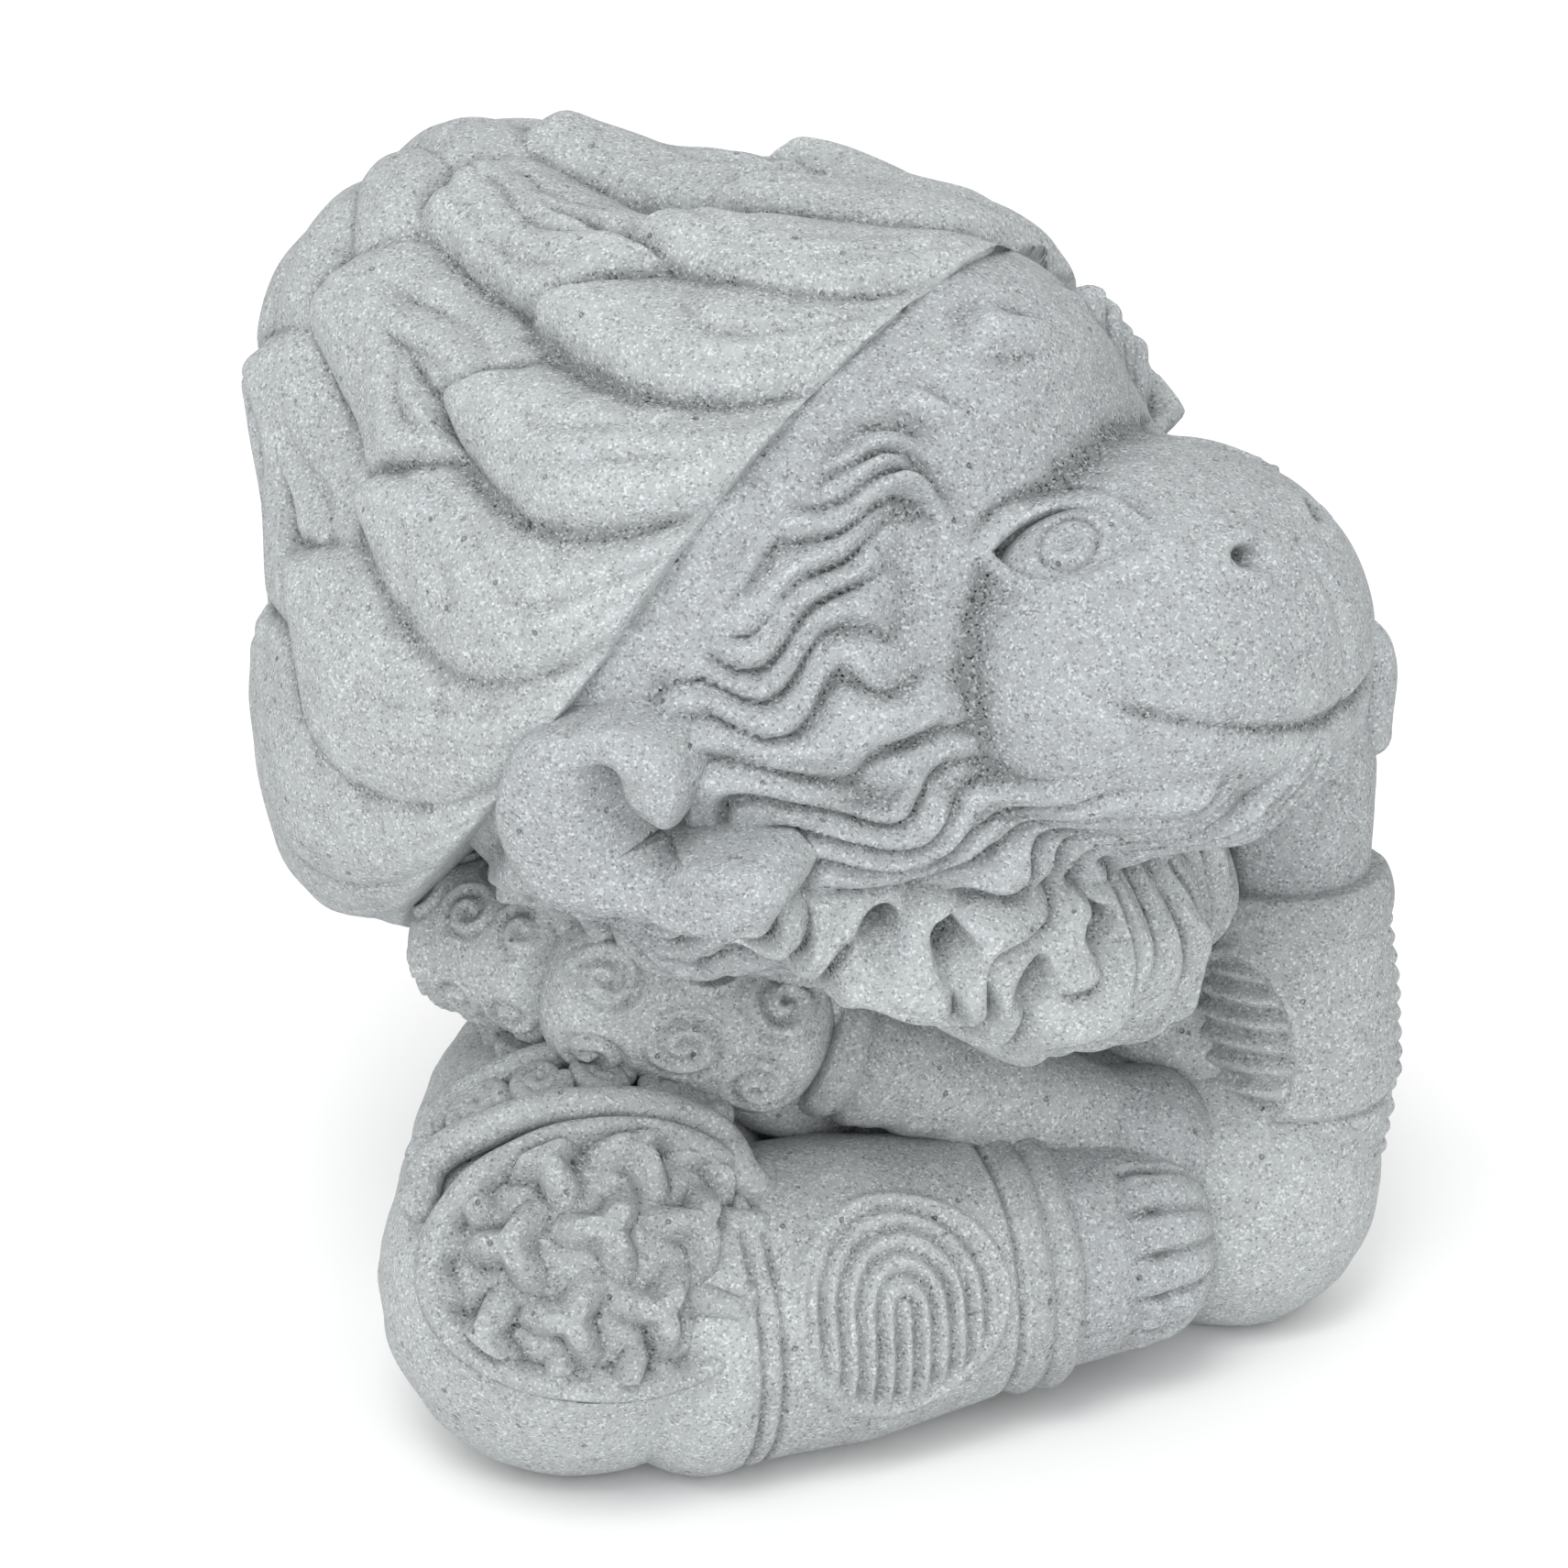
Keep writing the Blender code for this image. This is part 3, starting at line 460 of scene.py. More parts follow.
@dataclass(frozen=True)
class Sand:
    """Cast sandstone: grains of many tones, pale and dark flecks, pits darkened by painted shade, painted
    shade in grooves, rubbed crests.

    Scales count features a metre, tones are shares of the stone's own colour, heights are shares of the bump.
    """

    grain_scale: float = 8000.0
    fine_scale: float = 9000.0
    patch_scale: float = 900.0
    cloud_scale: float = 210.0
    pit_scale: float = 520.0
    fine_detail: Pair = (2.0, 0.6)
    patch_detail: Pair = (3.0, 0.6)
    cloud_detail: Pair = (4.0, 0.62)
    pale_from: float = 0.72
    dark_from: float = 0.74
    pit_edge: Pair = (0.05, 0.09)
    fine_span: Pair = (0.25, 0.75)
    broad_span: Pair = (0.3, 0.7)
    groove_span: Pair = (0.06, 0.5)
    crest_span: Pair = (0.55, 1.0)
    fine_tone: float = 0.10
    pale_tone: float = 0.36
    dark_tone: float = -0.27
    patch_tone: float = 0.07
    cloud_tone: float = 0.05
    groove_shade_tone: float = -0.34
    crest_tone: float = 0.10
    pit_shade_tone: float = -0.35
    roughness: Pair = (0.97, 0.78)
    grain_height: float = 0.55
    fine_height: float = 0.9
    patch_height: float = 1.5
    pit_height: float = -2.0

    def group(self) -> bpy.types.NodeTree:
        """The effect as a node group that every stone shares.

        Returns:
            The group.
        """
        group = bpy.data.node_groups.new("cast_sand", "ShaderNodeTree")
        sockets = {"INPUT": {"Stone": "Color", "Grain": "Float", "Dust": "Float"},
                   "OUTPUT": {"Color": "Color", "Roughness": "Float", "Height": "Float"}}
        for way, kinds in sockets.items():
            for label, kind in kinds.items():
                group.interface.new_socket(label, in_out=way, socket_type="NodeSocket" + kind)
        nodes = Nodes(group)
        given = nodes.add("NodeGroupInput")
        place = nodes.add("ShaderNodeTexCoord").outputs["Object"]
        crest = nodes.add("ShaderNodeAttribute", attribute_name="crest").outputs["Fac"]
        grains = nodes.cells(place, self.grain_scale).outputs["Color"]
        grain, fleck, shine = nodes.add("ShaderNodeSeparateColor", {"Color": grains}).outputs[:3]
        fine = nodes.noise(place, self.fine_scale, *self.fine_detail)
        clouds = nodes.noise(place, self.cloud_scale, *self.cloud_detail)
        patches = nodes.noise(place, self.patch_scale, *self.patch_detail)
        holes = nodes.cells(place, self.pit_scale).outputs["Distance"]
        pale = nodes.spread(grain, (self.pale_from, 1.0), (0.0, 1.0))
        dark = nodes.spread(fleck, (self.dark_from, 1.0), (0.0, 1.0))
        pit = nodes.spread(holes, self.pit_edge, (1.0, 0.0))
        tone = nodes.spread(fine, self.fine_span, (-self.fine_tone, self.fine_tone))
        tone = nodes.total(tone, (pale, self.pale_tone), (dark, self.dark_tone))
        tone = nodes.math("MULTIPLY", tone, given.outputs["Grain"])
        cloud = nodes.spread(clouds, self.broad_span, (-self.cloud_tone, self.cloud_tone))
        patch = nodes.spread(patches, self.broad_span, (-self.patch_tone, self.patch_tone))
        # Painted shade: where the crest attribute is low, in grooves and hollows, the colour is darkened,
        # weighted by each finish's groove shade.
        groove = nodes.spread(crest, self.groove_span, (self.groove_shade_tone, 0.0))
        groove = nodes.math("MULTIPLY", groove, given.outputs["Dust"])
        rubbed = nodes.spread(crest, self.crest_span, (0.0, self.crest_tone))
        for part in (cloud, patch, groove, rubbed):
            tone = nodes.math("ADD", tone, part)
        # Pits are darkened here as painted shade, besides their dent in the bump.
        scale = nodes.math("ADD", nodes.total(tone, (pit, self.pit_shade_tone)), 1.0)
        stone = {0: given.outputs["Stone"], "Scale": scale}
        shade = nodes.add("ShaderNodeVectorMath", stone, operation="SCALE")
        height = nodes.math("MULTIPLY", grain, self.grain_height)
        height = nodes.total(height, (fine, self.fine_height), (patches, self.patch_height))
        height = nodes.total(height, (pit, self.pit_height))
        rough = nodes.spread(shine, (0.0, 1.0), self.roughness)
        nodes.add("NodeGroupOutput", {"Color": shade.outputs[0], "Roughness": rough, "Height": height})
        return group


@dataclass(frozen=True)
class Finish:
    """One kind of stone surface: its colour, how strong its grains show and how much painted shade darkens its
    grooves.
    """

    slot: Slot
    stone: Triple
    grain: float
    dust: float
    bump: float = 0.07 * MM
    shine: float = 0.25

    def material(self, group: bpy.types.NodeTree) -> bpy.types.Material:
        """The finish as a node material.

        Args:
            group: The shared sand group.

        Returns:
            The new material.
        """
        material = bpy.data.materials.new(self.slot.value)
        material.use_nodes = True
        nodes = Nodes(material.node_tree)
        shader = material.node_tree.nodes["Principled BSDF"]
        shader.inputs["Specular IOR Level"].default_value = self.shine
        values = {"Stone": (*self.stone, 1.0), "Grain": self.grain, "Dust": self.dust}
        sand = nodes.add("ShaderNodeGroup", values, node_tree=group)
        relief = {"Height": sand.outputs["Height"], "Distance": self.bump, "Strength": 1.0}
        bump = nodes.add("ShaderNodeBump", relief)
        nodes.tree.links.new(sand.outputs["Color"], shader.inputs["Base Color"])
        nodes.tree.links.new(sand.outputs["Roughness"], shader.inputs["Roughness"])
        nodes.tree.links.new(bump.outputs["Normal"], shader.inputs["Normal"])
        return material


# The last number of each finish weights the painted shade that darkens its grooves.
FINISHES = (
    Finish(Slot.SKIN, (0.338, 0.356, 0.364), 1.6, 1.4),
    Finish(Slot.HAIR, (0.365, 0.384, 0.391), 1.55, 1.35),
    Finish(Slot.CLOTH, (0.365, 0.383, 0.388), 1.6, 1.2),
    Finish(Slot.TRIM, (0.33, 0.347, 0.353), 1.5, 1.6),
)


@dataclass
class Workshop:
    """Turns closed skins into finished pieces that ride on the figure's body."""

    wear: float = 0.07 * MM
    wear_length: float = 4.5 * MM
    crest_passes: int = 24
    crest_height: float = 0.28 * MM
    materials: dict[Slot, bpy.types.Material] = field(default_factory=dict)

    def __post_init__(self) -> None:
        """Makes the stone materials."""
        group = Sand().group()
        self.materials = {finish.slot: finish.material(group) for finish in FINISHES}

    def mesh(self, name: str, skins: Sequence[Shell]) -> bpy.types.Mesh:
        """One smooth mesh of several skins, with each point's crest as an attribute.

        Args:
            name: Name of the mesh.
            skins: The closed skins.

        Returns:
            The mesh.
        """
        mesh = bpy.data.meshes.new(name)
        points = np.concatenate([skin.points() for skin in skins])
        starts = np.cumsum([0] + [len(skin.points()) for skin in skins])
        pairs = [skin.faces() for skin in skins]
        triangles = np.concatenate([pair[0] + start for pair, start in zip(pairs, starts)])
        quads = np.concatenate([pair[1] + start for pair, start in zip(pairs, starts)])
        corners = np.concatenate([triangles.ravel(), quads.ravel()])
        firsts = np.concatenate([3 * np.arange(len(triangles)), triangles.size + 4 * np.arange(len(quads))])
        mesh.vertices.add(len(points))
        mesh.vertices.foreach_set("co", points.ravel())
        mesh.loops.add(len(corners))
        mesh.loops.foreach_set("vertex_index", corners.astype(np.int32))
        mesh.polygons.add(len(firsts))
        mesh.polygons.foreach_set("loop_start", firsts.astype(np.int32))
        mesh.update(calc_edges=True)
        mesh.shade_smooth()
        crest = np.concatenate([skin.crests(self.crest_passes, self.crest_height) for skin in skins])
        mesh.attributes.new("crest", "FLOAT", "POINT").data.foreach_set("value", crest.astype(np.float32))
        return mesh

    def carve(self, node: str, slot: Slot, shells: Sequence[Shell], wear: float | None = None
              ) -> bpy.types.Object:
        """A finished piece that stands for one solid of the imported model.

        Args:
            node: Name of the solid that the piece replaces.
            slot: Its kind of stone.
            shells: The closed skins that it is made of.
            wear: Depth of the hand-worn unevenness, where it isn't the usual one.

        Returns:
            The piece.
        """
        depth = self.wear if wear is None else wear
        skins = [shell.worn(depth, self.wear_length, Seed.WEAR + number).grounded()
                 for number, shell in enumerate(shells)]
        mesh = self.mesh(node + "_carved", skins)
        mesh.materials.append(self.materials[slot])
        piece = bpy.data.objects.new(node + "_stone", mesh)
        bpy.context.scene.collection.objects.link(piece)
        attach(piece, BODY)
        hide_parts(node)
        return piece


Piece = tuple[str, Slot, Sequence[Shell]] | tuple[str, Slot, Sequence[Shell], float]


class Part:
    """A sub-assembly, which lists its pieces and has them carved and dressed."""

    def pieces(self) -> list[Piece]:
        """Node, slot, skins and, where it isn't the usual one, wear of each piece."""
        raise NotImplementedError

    def build(self, shop: Workshop) -> list[bpy.types.Object]:
        """The finished pieces."""
        return [shop.carve(*piece) for piece in self.pieces()]


# Head

def ellipsoid_reach(ways: Array, centre: Sequence[float], radii: Sequence[float]) -> Array:
    """Distance from the frame's middle to the far side of an ellipsoid, from the quadratic of each direction.

    Args:
        ways: Unit directions.
        centre: Middle of the ellipsoid.
        radii: Its three half axes.

    Returns:
        The distances, zero where a direction misses it.
    """
    stretched = ways / np.array(radii)
    offset = np.array(centre) / np.array(radii)
    square = (stretched ** 2).sum(axis=-1)
    ahead = stretched @ offset
    inside = ahead ** 2 - square * (offset @ offset - 1.0)
    return np.where(inside > 0, (ahead + np.sqrt(np.abs(inside))) / square, 0.0).clip(min=0)


@dataclass(frozen=True)
class HeadForm:
    """The head's plain form as a distance along every direction from its middle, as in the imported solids."""

    middle: Triple = (-1.0 * MM, -3.0 * MM, 40.5 * MM)
    turn: float = 33 * DEG
    tilt: float = 12 * DEG
    lean: float = 3 * DEG
    half_width: float = 23.0 * MM
    half_length: float = 19.5 * MM
    half_height: float = 20.8 * MM
    drop: float = 18.0 * MM
    muzzle_middle: Triple = (0.0, -20.5 * MM, -1.6 * MM)
    muzzle_half: Triple = (12.4 * MM, 11.8 * MM, 10.2 * MM)
    face_blend: float = 1.0 * MM
    brow: Ridge = Ridge(3.2 * MM, 26 * DEG)
    brow_lift: float = 42 * DEG
    jaw: Ridge = Ridge(4.0 * MM, 38 * DEG)
    jaw_lift: float = -34 * DEG
    band_slope: float = 44 * DEG
    band_setback: float = 0.5 * MM
    band_width: float = 6.0 * MM
    band_height: float = 0.3 * MM
    touch_step: float = 5 * DEG

    def axes(self) -> Array:
        """The head's axes in the figure's frame, as columns."""
        return turning(2, self.turn) @ turning(0, -self.tilt) @ turning(1, self.lean)

    def placed(self, local: Array) -> Array:
        """Points of the head's frame in the figure's frame."""
        return local @ self.axes().T + np.array(self.middle)

    def band_axes(self) -> Array:
        """Axes of the hairline's frame in the head's frame: z points back and up, square to the band."""
        return turning(0, -self.band_slope)

    def skull(self, ways: Array) -> Array:
        """An egg that is higher above its middle than below, with a bell for the heavy brow.

        Args:
            ways: Unit directions.

        Returns:
            Distances from the middle.
        """
        upper = ellipsoid_reach(ways, (0, 0, 0), (self.half_width, self.half_length, self.half_height))
        lower = ellipsoid_reach(ways, (0, 0, 0), (self.half_width, self.half_length, self.drop))
        brow = self.brow.at(angle_to(ways, facing(0, self.brow_lift)))
        return np.where(ways[..., 2] > 0, upper, lower) + brow

    def blend(self, first: Array, second: Array) -> Array:
        """The larger of two distances, with the valley between them softly filled."""
        return self.face_blend * np.logaddexp(first / self.face_blend, second / self.face_blend)

    def reach(self, ways: Array) -> Array:
        """Skull, a bell for the jaw and the round muzzle as one smooth form.

        Args:
            ways: Unit directions.

        Returns:
            Distances from the middle.
        """
        jaw = self.jaw.at(angle_to(ways, facing(0, self.jaw_lift)))
        muzzle = ellipsoid_reach(ways, self.muzzle_middle, self.muzzle_half)
        return self.blend(self.skull(ways) + jaw, muzzle)

    def spot(self, turn: float, lift: float, sink: float = 0.0) -> Array:
        """Point on the head's surface, or a little under it, in the head's frame."""
        way = facing(turn, lift)
        return way * (self.reach(way) - sink)

    def touching(self, turn: float, lift: float) -> tuple[Array, Array]:
        """A place on the plain head and the plane that touches it there.

        Args:
            turn: Angle of the place to the left.
            lift: Its angle above the level.

        Returns:
            The place, and the plane's axes as columns: left, outwards and up.
        """
        left = unit(self.spot(turn + self.touch_step, lift) - self.spot(turn - self.touch_step, lift))
        up = self.spot(turn, lift + self.touch_step) - self.spot(turn, lift - self.touch_step)
        out = unit(np.cross(left, up))
        return self.spot(turn, lift), np.stack([left, out, np.cross(out, left)], 1)


HEAD = HeadForm()


@dataclass(frozen=True)
class Hairline:
    """Where the mane's edge leaves the band's plane: it bows forward above each ear."""

    depth: float = 3.0 * MM
    spread: float = 42 * DEG

    def bow(self, ways: Array) -> Array:
        """How far the edge lies in front of the plane: a bell over the angle from the nearer ear.

        Args:
            ways: Directions.

        Returns:
            The distances.
        """
        local = ways @ HEAD.band_axes()
        side = np.arccos(np.abs(unit(local[..., :2])[..., 0]).clip(0, 1))
        return self.depth * hump(side, self.spread)


HAIRLINE = Hairline()


@dataclass
class Fur:
    """Cheek fur: S-curved strands that run outwards from the smooth face, three to each broad furrow."""

    furrow_count: int = 16
    furrow_depth: float = 1.0 * MM
    start: float = 47 * DEG
    start_below: float = 18 * DEG
    shore: float = 5 * DEG
    shore_length: float = 9.0 * MM
    fade: float = 14 * DEG
    sway: float = 0.9
    sway_waves: float = 5.0
    strands: int = 3
    strand_height: float = 1.5 * MM
    strand_start: float = 12 * DEG
    strand_fade: float = 9 * DEG
    round_power: float = 0.75
    kinship: float = 0.45
    bend: float = 1.5
    bend_length: float = 12.0 * MM
    twist: float = 0.45
    twist_length: float = 6.0 * MM
    hair_height: float = 0.3 * MM
    hair_bend: float = 0.6
    hair_length: float = 6.0 * MM
    swell_mean: float = 0.72
    swell_share: float = 0.4
    swell_length: float = 6.5 * MM
    swell_range: Pair = (0.15, 1.2)
    pulse: float = 0.12
    pulse_waves: float = 16.0
    brow_calm: float = 0.6
    brow_lift: float = 60 * DEG
    brow_spread: float = 26 * DEG
    tip_level: float = 2.4 * MM
    tip_fade: float = 1.6 * MM
    tip_spread: float = 3.0 * MM
    pits: tuple[Pair, ...] = (
        (-52, -31), (-42, -34), (-30, -40), (-17, -37), (38, -36), (50, -30))
    pit_radius: float = 0.95 * MM
    pit_depth: float = 3.0 * MM
    radius: float = 22.0 * MM

    def phase(self, wave: Array, off: Array, around: Array) -> Array:
        """Count of strands round the face, bent to and fro by ripples that neighbours share.

        Args:
            wave: The furrows' own phase.
            off: Angle off the front.
            around: Angle round the front.

        Returns:
            The phase, with a whole number in each line between strands.
        """
        beside = self.kinship * np.stack([np.cos(around), np.sin(around)], -1)
        flow = self.radius * np.concatenate([off[..., None], beside], -1)
        bend = self.bend * ripples(flow, self.bend_length, Seed.FUR_BEND)
        twist = self.twist * ripples(flow, self.twist_length, Seed.FUR_TWIST)
        return self.strands * wave / math.tau + (bend + twist)

    def tips(self, ways: Array, chance: Array) -> Array:
        """Where strands end on the band, each at its own place.

        Args:
            ways: Unit directions.
            chance: A random share for each strand.

        Returns:
            1 before the tips, falling to 0 past them.
        """
        level = (ways @ HEAD.band_axes()[:, 2]) * HEAD.reach(ways)
        past = level + self.tip_spread * chance + HAIRLINE.bow(ways)
        return smooth(self.tip_level, self.tip_level - self.tip_fade, past)

    def relief(self, ways: Array) -> Array:
        """Furrows and strands: ridges of |sin| over a phase that counts round the face, with finer hairs at
        twice the phase; each strand starts, swells and ends at its own place.

        Args:
            ways: Unit directions.

        Returns:
            Height over the plain form, zero on the smooth face.
        """
        places = ways * self.radius
        around = np.arctan2(ways[..., 2], ways[..., 0])
        off = np.arccos((-ways[..., 1]).clip(-1, 1))
        below = self.start_below + (self.start - self.start_below) * np.cos(around) ** 4
        start = np.where(ways[..., 2] > 0, self.start, below)
        start = start + self.shore * ripples(places, self.shore_length, Seed.FUR_SHORE)
        wave = self.furrow_count * around + self.sway * np.sin(self.sway_waves * off)
        furrow = self.furrow_depth * (1 - np.cos(wave)) / 2
        phase = self.phase(wave, off, around)
        chance = chances(np.mod(np.floor(phase), self.strands * self.furrow_count), 12.9898)
        ridge = np.abs(np.sin(math.pi * phase)) ** self.round_power
        finer = 2 * phase + self.hair_bend * ripples(places, self.hair_length, Seed.FUR_HAIR)
        hairs = np.abs(np.sin(math.pi * finer)) ** self.round_power
        brow = angle_to(ways, facing(0, self.brow_lift))
        crown = 1 - self.brow_calm * plateau(brow, self.brow_spread)
        swell = self.swell_mean + self.swell_share * ripples(places, self.swell_length, Seed.FUR_SWELL)
        swell = swell + self.pulse * np.sin(self.pulse_waves * off + math.tau * chance)
        begin = smooth(0, 1, (off - start + self.strand_start * (1 - chance)) / self.strand_fade)
        strands = self.strand_height * ridge * swell.clip(*self.swell_range) + self.hair_height * hairs
        furrows = furrow * ((off - start) / self.fade).clip(0, 1)
        return (strands * begin * crown - furrows) * self.tips(ways, chance)

    def holes(self, ways: Array) -> Array:
        """Round pits that are drilled into the fur: a steep bell about each pit's direction.

        Args:
            ways: Unit directions.

        Returns:
            Depth of the pits, zero between them.
        """
        depth = np.zeros(ways.shape[:-1])
        for turn, lift in np.radians(self.pits):
            gap = angle_to(ways, facing(turn, lift)) * self.radius
            depth = np.maximum(depth, self.pit_depth * plateau(gap, self.pit_radius))
        return depth


@dataclass
class Face:
    """The head with its smooth face, eye sockets, nose, mouth and cheek fur."""

    columns: int = 440
    rows: int = 206
    back_rows: int = 12
    first_ring: float = 0.004
    back_start: float = 128 * DEG
    back_end: float = 179 * DEG
    front: Pair = (75 * DEG, 55 * DEG)
    eye_turn: float = 20 * DEG
    eye_lift: float = 15 * DEG
    eye_half_width: float = 3.9 * MM
    eye_upper: float = 2.5 * MM
    eye_lower: float = 2.2 * MM
    eye_slant: float = 12 * DEG
    eye_near: float = 7.0 * MM
    socket_depth: float = 1.25 * MM
    socket_edge: Pair = (-0.1 * MM, 0.5 * MM)
    lid: Ridge = Ridge(0.5 * MM, 0.5 * MM, -0.45 * MM)
    lid_ends: Pair = (1.25, 0.95)
    crease: Ridge = Ridge(0.3 * MM, 0.3 * MM, -1.5 * MM)
    nostril_turn: float = 7 * DEG
    nostril_lift: float = 8 * DEG
    nostril_size: float = 0.9 * MM
    nostril_depth: float = 1.2 * MM
    nostril_squash: float = 1.5
    wing: Ridge = Ridge(0.25 * MM, 0.8 * MM, 1.53 * MM)
    cleft: Ridge = Ridge(0.3 * MM, 0.45 * MM)
    mouth_lift: float = -9 * DEG
    mouth_reach: float = 25 * DEG
    mouth_smile: float = 7 * DEG
    slit: Ridge = Ridge(0.5 * MM, 0.5 * MM)
    mouth_ends: Pair = (1.06, 0.92)
    lip: Ridge = Ridge(0.35 * MM, 1.3 * MM, -1.8 * MM)
    lip_ends: Pair = (0.9, 0.3)
    pad: Ridge = Ridge(0.3 * MM, 0.9 * MM, 1.5 * MM)
    pad_start: float = 0.95
    shore: Pair = (2.5 * MM, 0.3 * MM)
    snout_radius: float = 31.0 * MM

    def ways(self) -> Array:
        """Directions in rings about the face's axis, closer together on the face than under the mane.

        Returns:
            Unit directions, one ring a row.
        """
        seen = np.linspace(self.first_ring, self.back_start, self.rows - self.back_rows, endpoint=False)
        hidden = np.linspace(self.back_start, self.back_end, self.back_rows)
        return front_ways(np.concatenate([seen, hidden])[:, None], circle(self.columns))

    def eyes(self, points: Array) -> Array:
        """Two almond sockets with lids: parabolas over the plane that touches the head at each eye.

        Args:
            points: Places on the plain head.

        Returns:
            Height over the plain face.
        """
        height = np.zeros(points.shape[:-1])
        for side in Side:
            middle, axes = HEAD.touching(side.value * self.eye_turn, self.eye_lift)
            local = (points - middle) @ axes
            x, z = side.value * local[..., 0], local[..., 2]
            across = x * math.cos(self.eye_slant) + z * math.sin(self.eye_slant)
            up = z * math.cos(self.eye_slant) - x * math.sin(self.eye_slant)
            half = np.where(up > 0, self.eye_upper, self.eye_lower)
            inset = half * (1 - (across / self.eye_half_width) ** 2) - np.abs(up)
            inset = np.where(np.abs(local[..., 1]) < self.eye_near, inset, -1.0)
            lid = self.lid.at(inset) - self.crease.at(inset) * (up > 0)
            ends = smooth(*self.lid_ends, np.abs(across) / self.eye_half_width)
            height += lid * ends - self.socket_depth * smooth(*self.socket_edge, inset)
        return height

    def nose(self, x: Array, z: Array) -> Array:
        """Two nostrils as steep pits, each with a low ring round it.

        Args:
            x: Distance to the left.
            z: Distance up.

        Returns:
            Height over the plain muzzle.
        """
        height = np.zeros_like(x)
        for side in Side:
            aside = x - side.value * self.snout_radius * self.nostril_turn
            gap = np.hypot(aside, self.nostril_squash * (z - self.snout_radius * self.nostril_lift))
            height += self.wing.at(gap) - self.nostril_depth * plateau(gap, self.nostril_size)
        return height

    def mouth(self, x: Array, z: Array) -> Array:
        """A line that rises to its corners as a parabola, a soft lower lip, a cleft up to the nose and low
        pads at the corners.

        Args:
            x: Distance to the left.
            z: Distance up.

        Returns:
            Height over the plain muzzle.
        """
        reach = self.snout_radius * self.mouth_reach
        share = np.abs(x) / reach
        line = self.snout_radius * (self.mouth_lift + self.mouth_smile * share ** 2)
        slit = self.slit.at(z - line) * smooth(*self.mouth_ends, share)
        lip = self.lip.at(z - line) * smooth(*self.lip_ends, share)
        between = (z < self.snout_radius * self.nostril_lift) & (z > line)
        pad = self.pad.at(np.hypot(np.abs(x) - reach, z - line)) * (share > self.pad_start)
        return lip - slit - self.cleft.at(x) * between + pad

    def shell(self, fur: Fur) -> Shell:
        """The head's skin: plain form plus fur outside the face and features inside it, and a rise that meets
        the band along the hairline.

        Args:
            fur: The cheek fur.

        Returns:
            The skin.
        """
        ways = self.ways()
        x = self.snout_radius * np.arctan2(ways[..., 0], -ways[..., 1])
        z = self.snout_radius * np.arcsin(ways[..., 2].clip(-1, 1))
        front = smooth(*self.front, np.arccos((-ways[..., 1]).clip(-1, 1)))
        points = ways * HEAD.reach(ways)[..., None]
        ahead = HEAD.band_setback - HEAD.band_width / 2 - points @ HEAD.band_axes()[:, 2]
        relief = fur.relief(ways) + HEAD.band_height * smooth(*self.shore, ahead) - fur.holes(ways)
        relief = relief + front * (self.eyes(points) + self.nose(x, z) + self.mouth(x, z))
        return Shell(HEAD.placed(points + ways * relief[..., None]))


@dataclass
class Eye(Part):
    """A calm eyeball under its lid, with an iris ring and a pupil."""

    side: Side
    half_width: float = 4.4 * MM
    half_height: float = 3.1 * MM
    half_depth: float = 2.2 * MM
    sink: float = 2.0 * MM
    iris: Ridge = Ridge(0.28 * MM, 0.2 * MM, 1.5 * MM)
    pupil: float = 0.6 * MM
    pupil_depth: float = 0.4 * MM
    wear: float = 0.02 * MM
    rows: int = 90
    columns: int = 120
    face: Face = field(default_factory=Face)

    def shell(self) -> Shell:
        """An ellipsoid in its socket, with rings cut into its front.

        Returns:
            The skin.
        """
        off = np.linspace(POLE_GAP, math.pi - POLE_GAP, self.rows)[:, None]
        ways = front_ways(off, circle(self.columns))
        points = ways * (self.half_width, self.half_depth, self.half_height)
        gap = np.hypot(points[..., 0], points[..., 2])
        cut = self.iris.at(gap) + self.pupil_depth * plateau(gap, self.pupil)
        points[..., 1] += cut * (ways[..., 1] < 0)
        middle, axes = HEAD.touching(self.side.value * self.face.eye_turn, self.face.eye_lift)
        points = points * (1, -1, 1) - (0, self.sink, 0)
        return Shell(HEAD.placed(middle + points @ axes.T))

    def pieces(self) -> list[Piece]:
        """The eye of this side."""
        return [("eye_" + self.side.name.lower(), Slot.SKIN, [self.shell()], self.wear)]


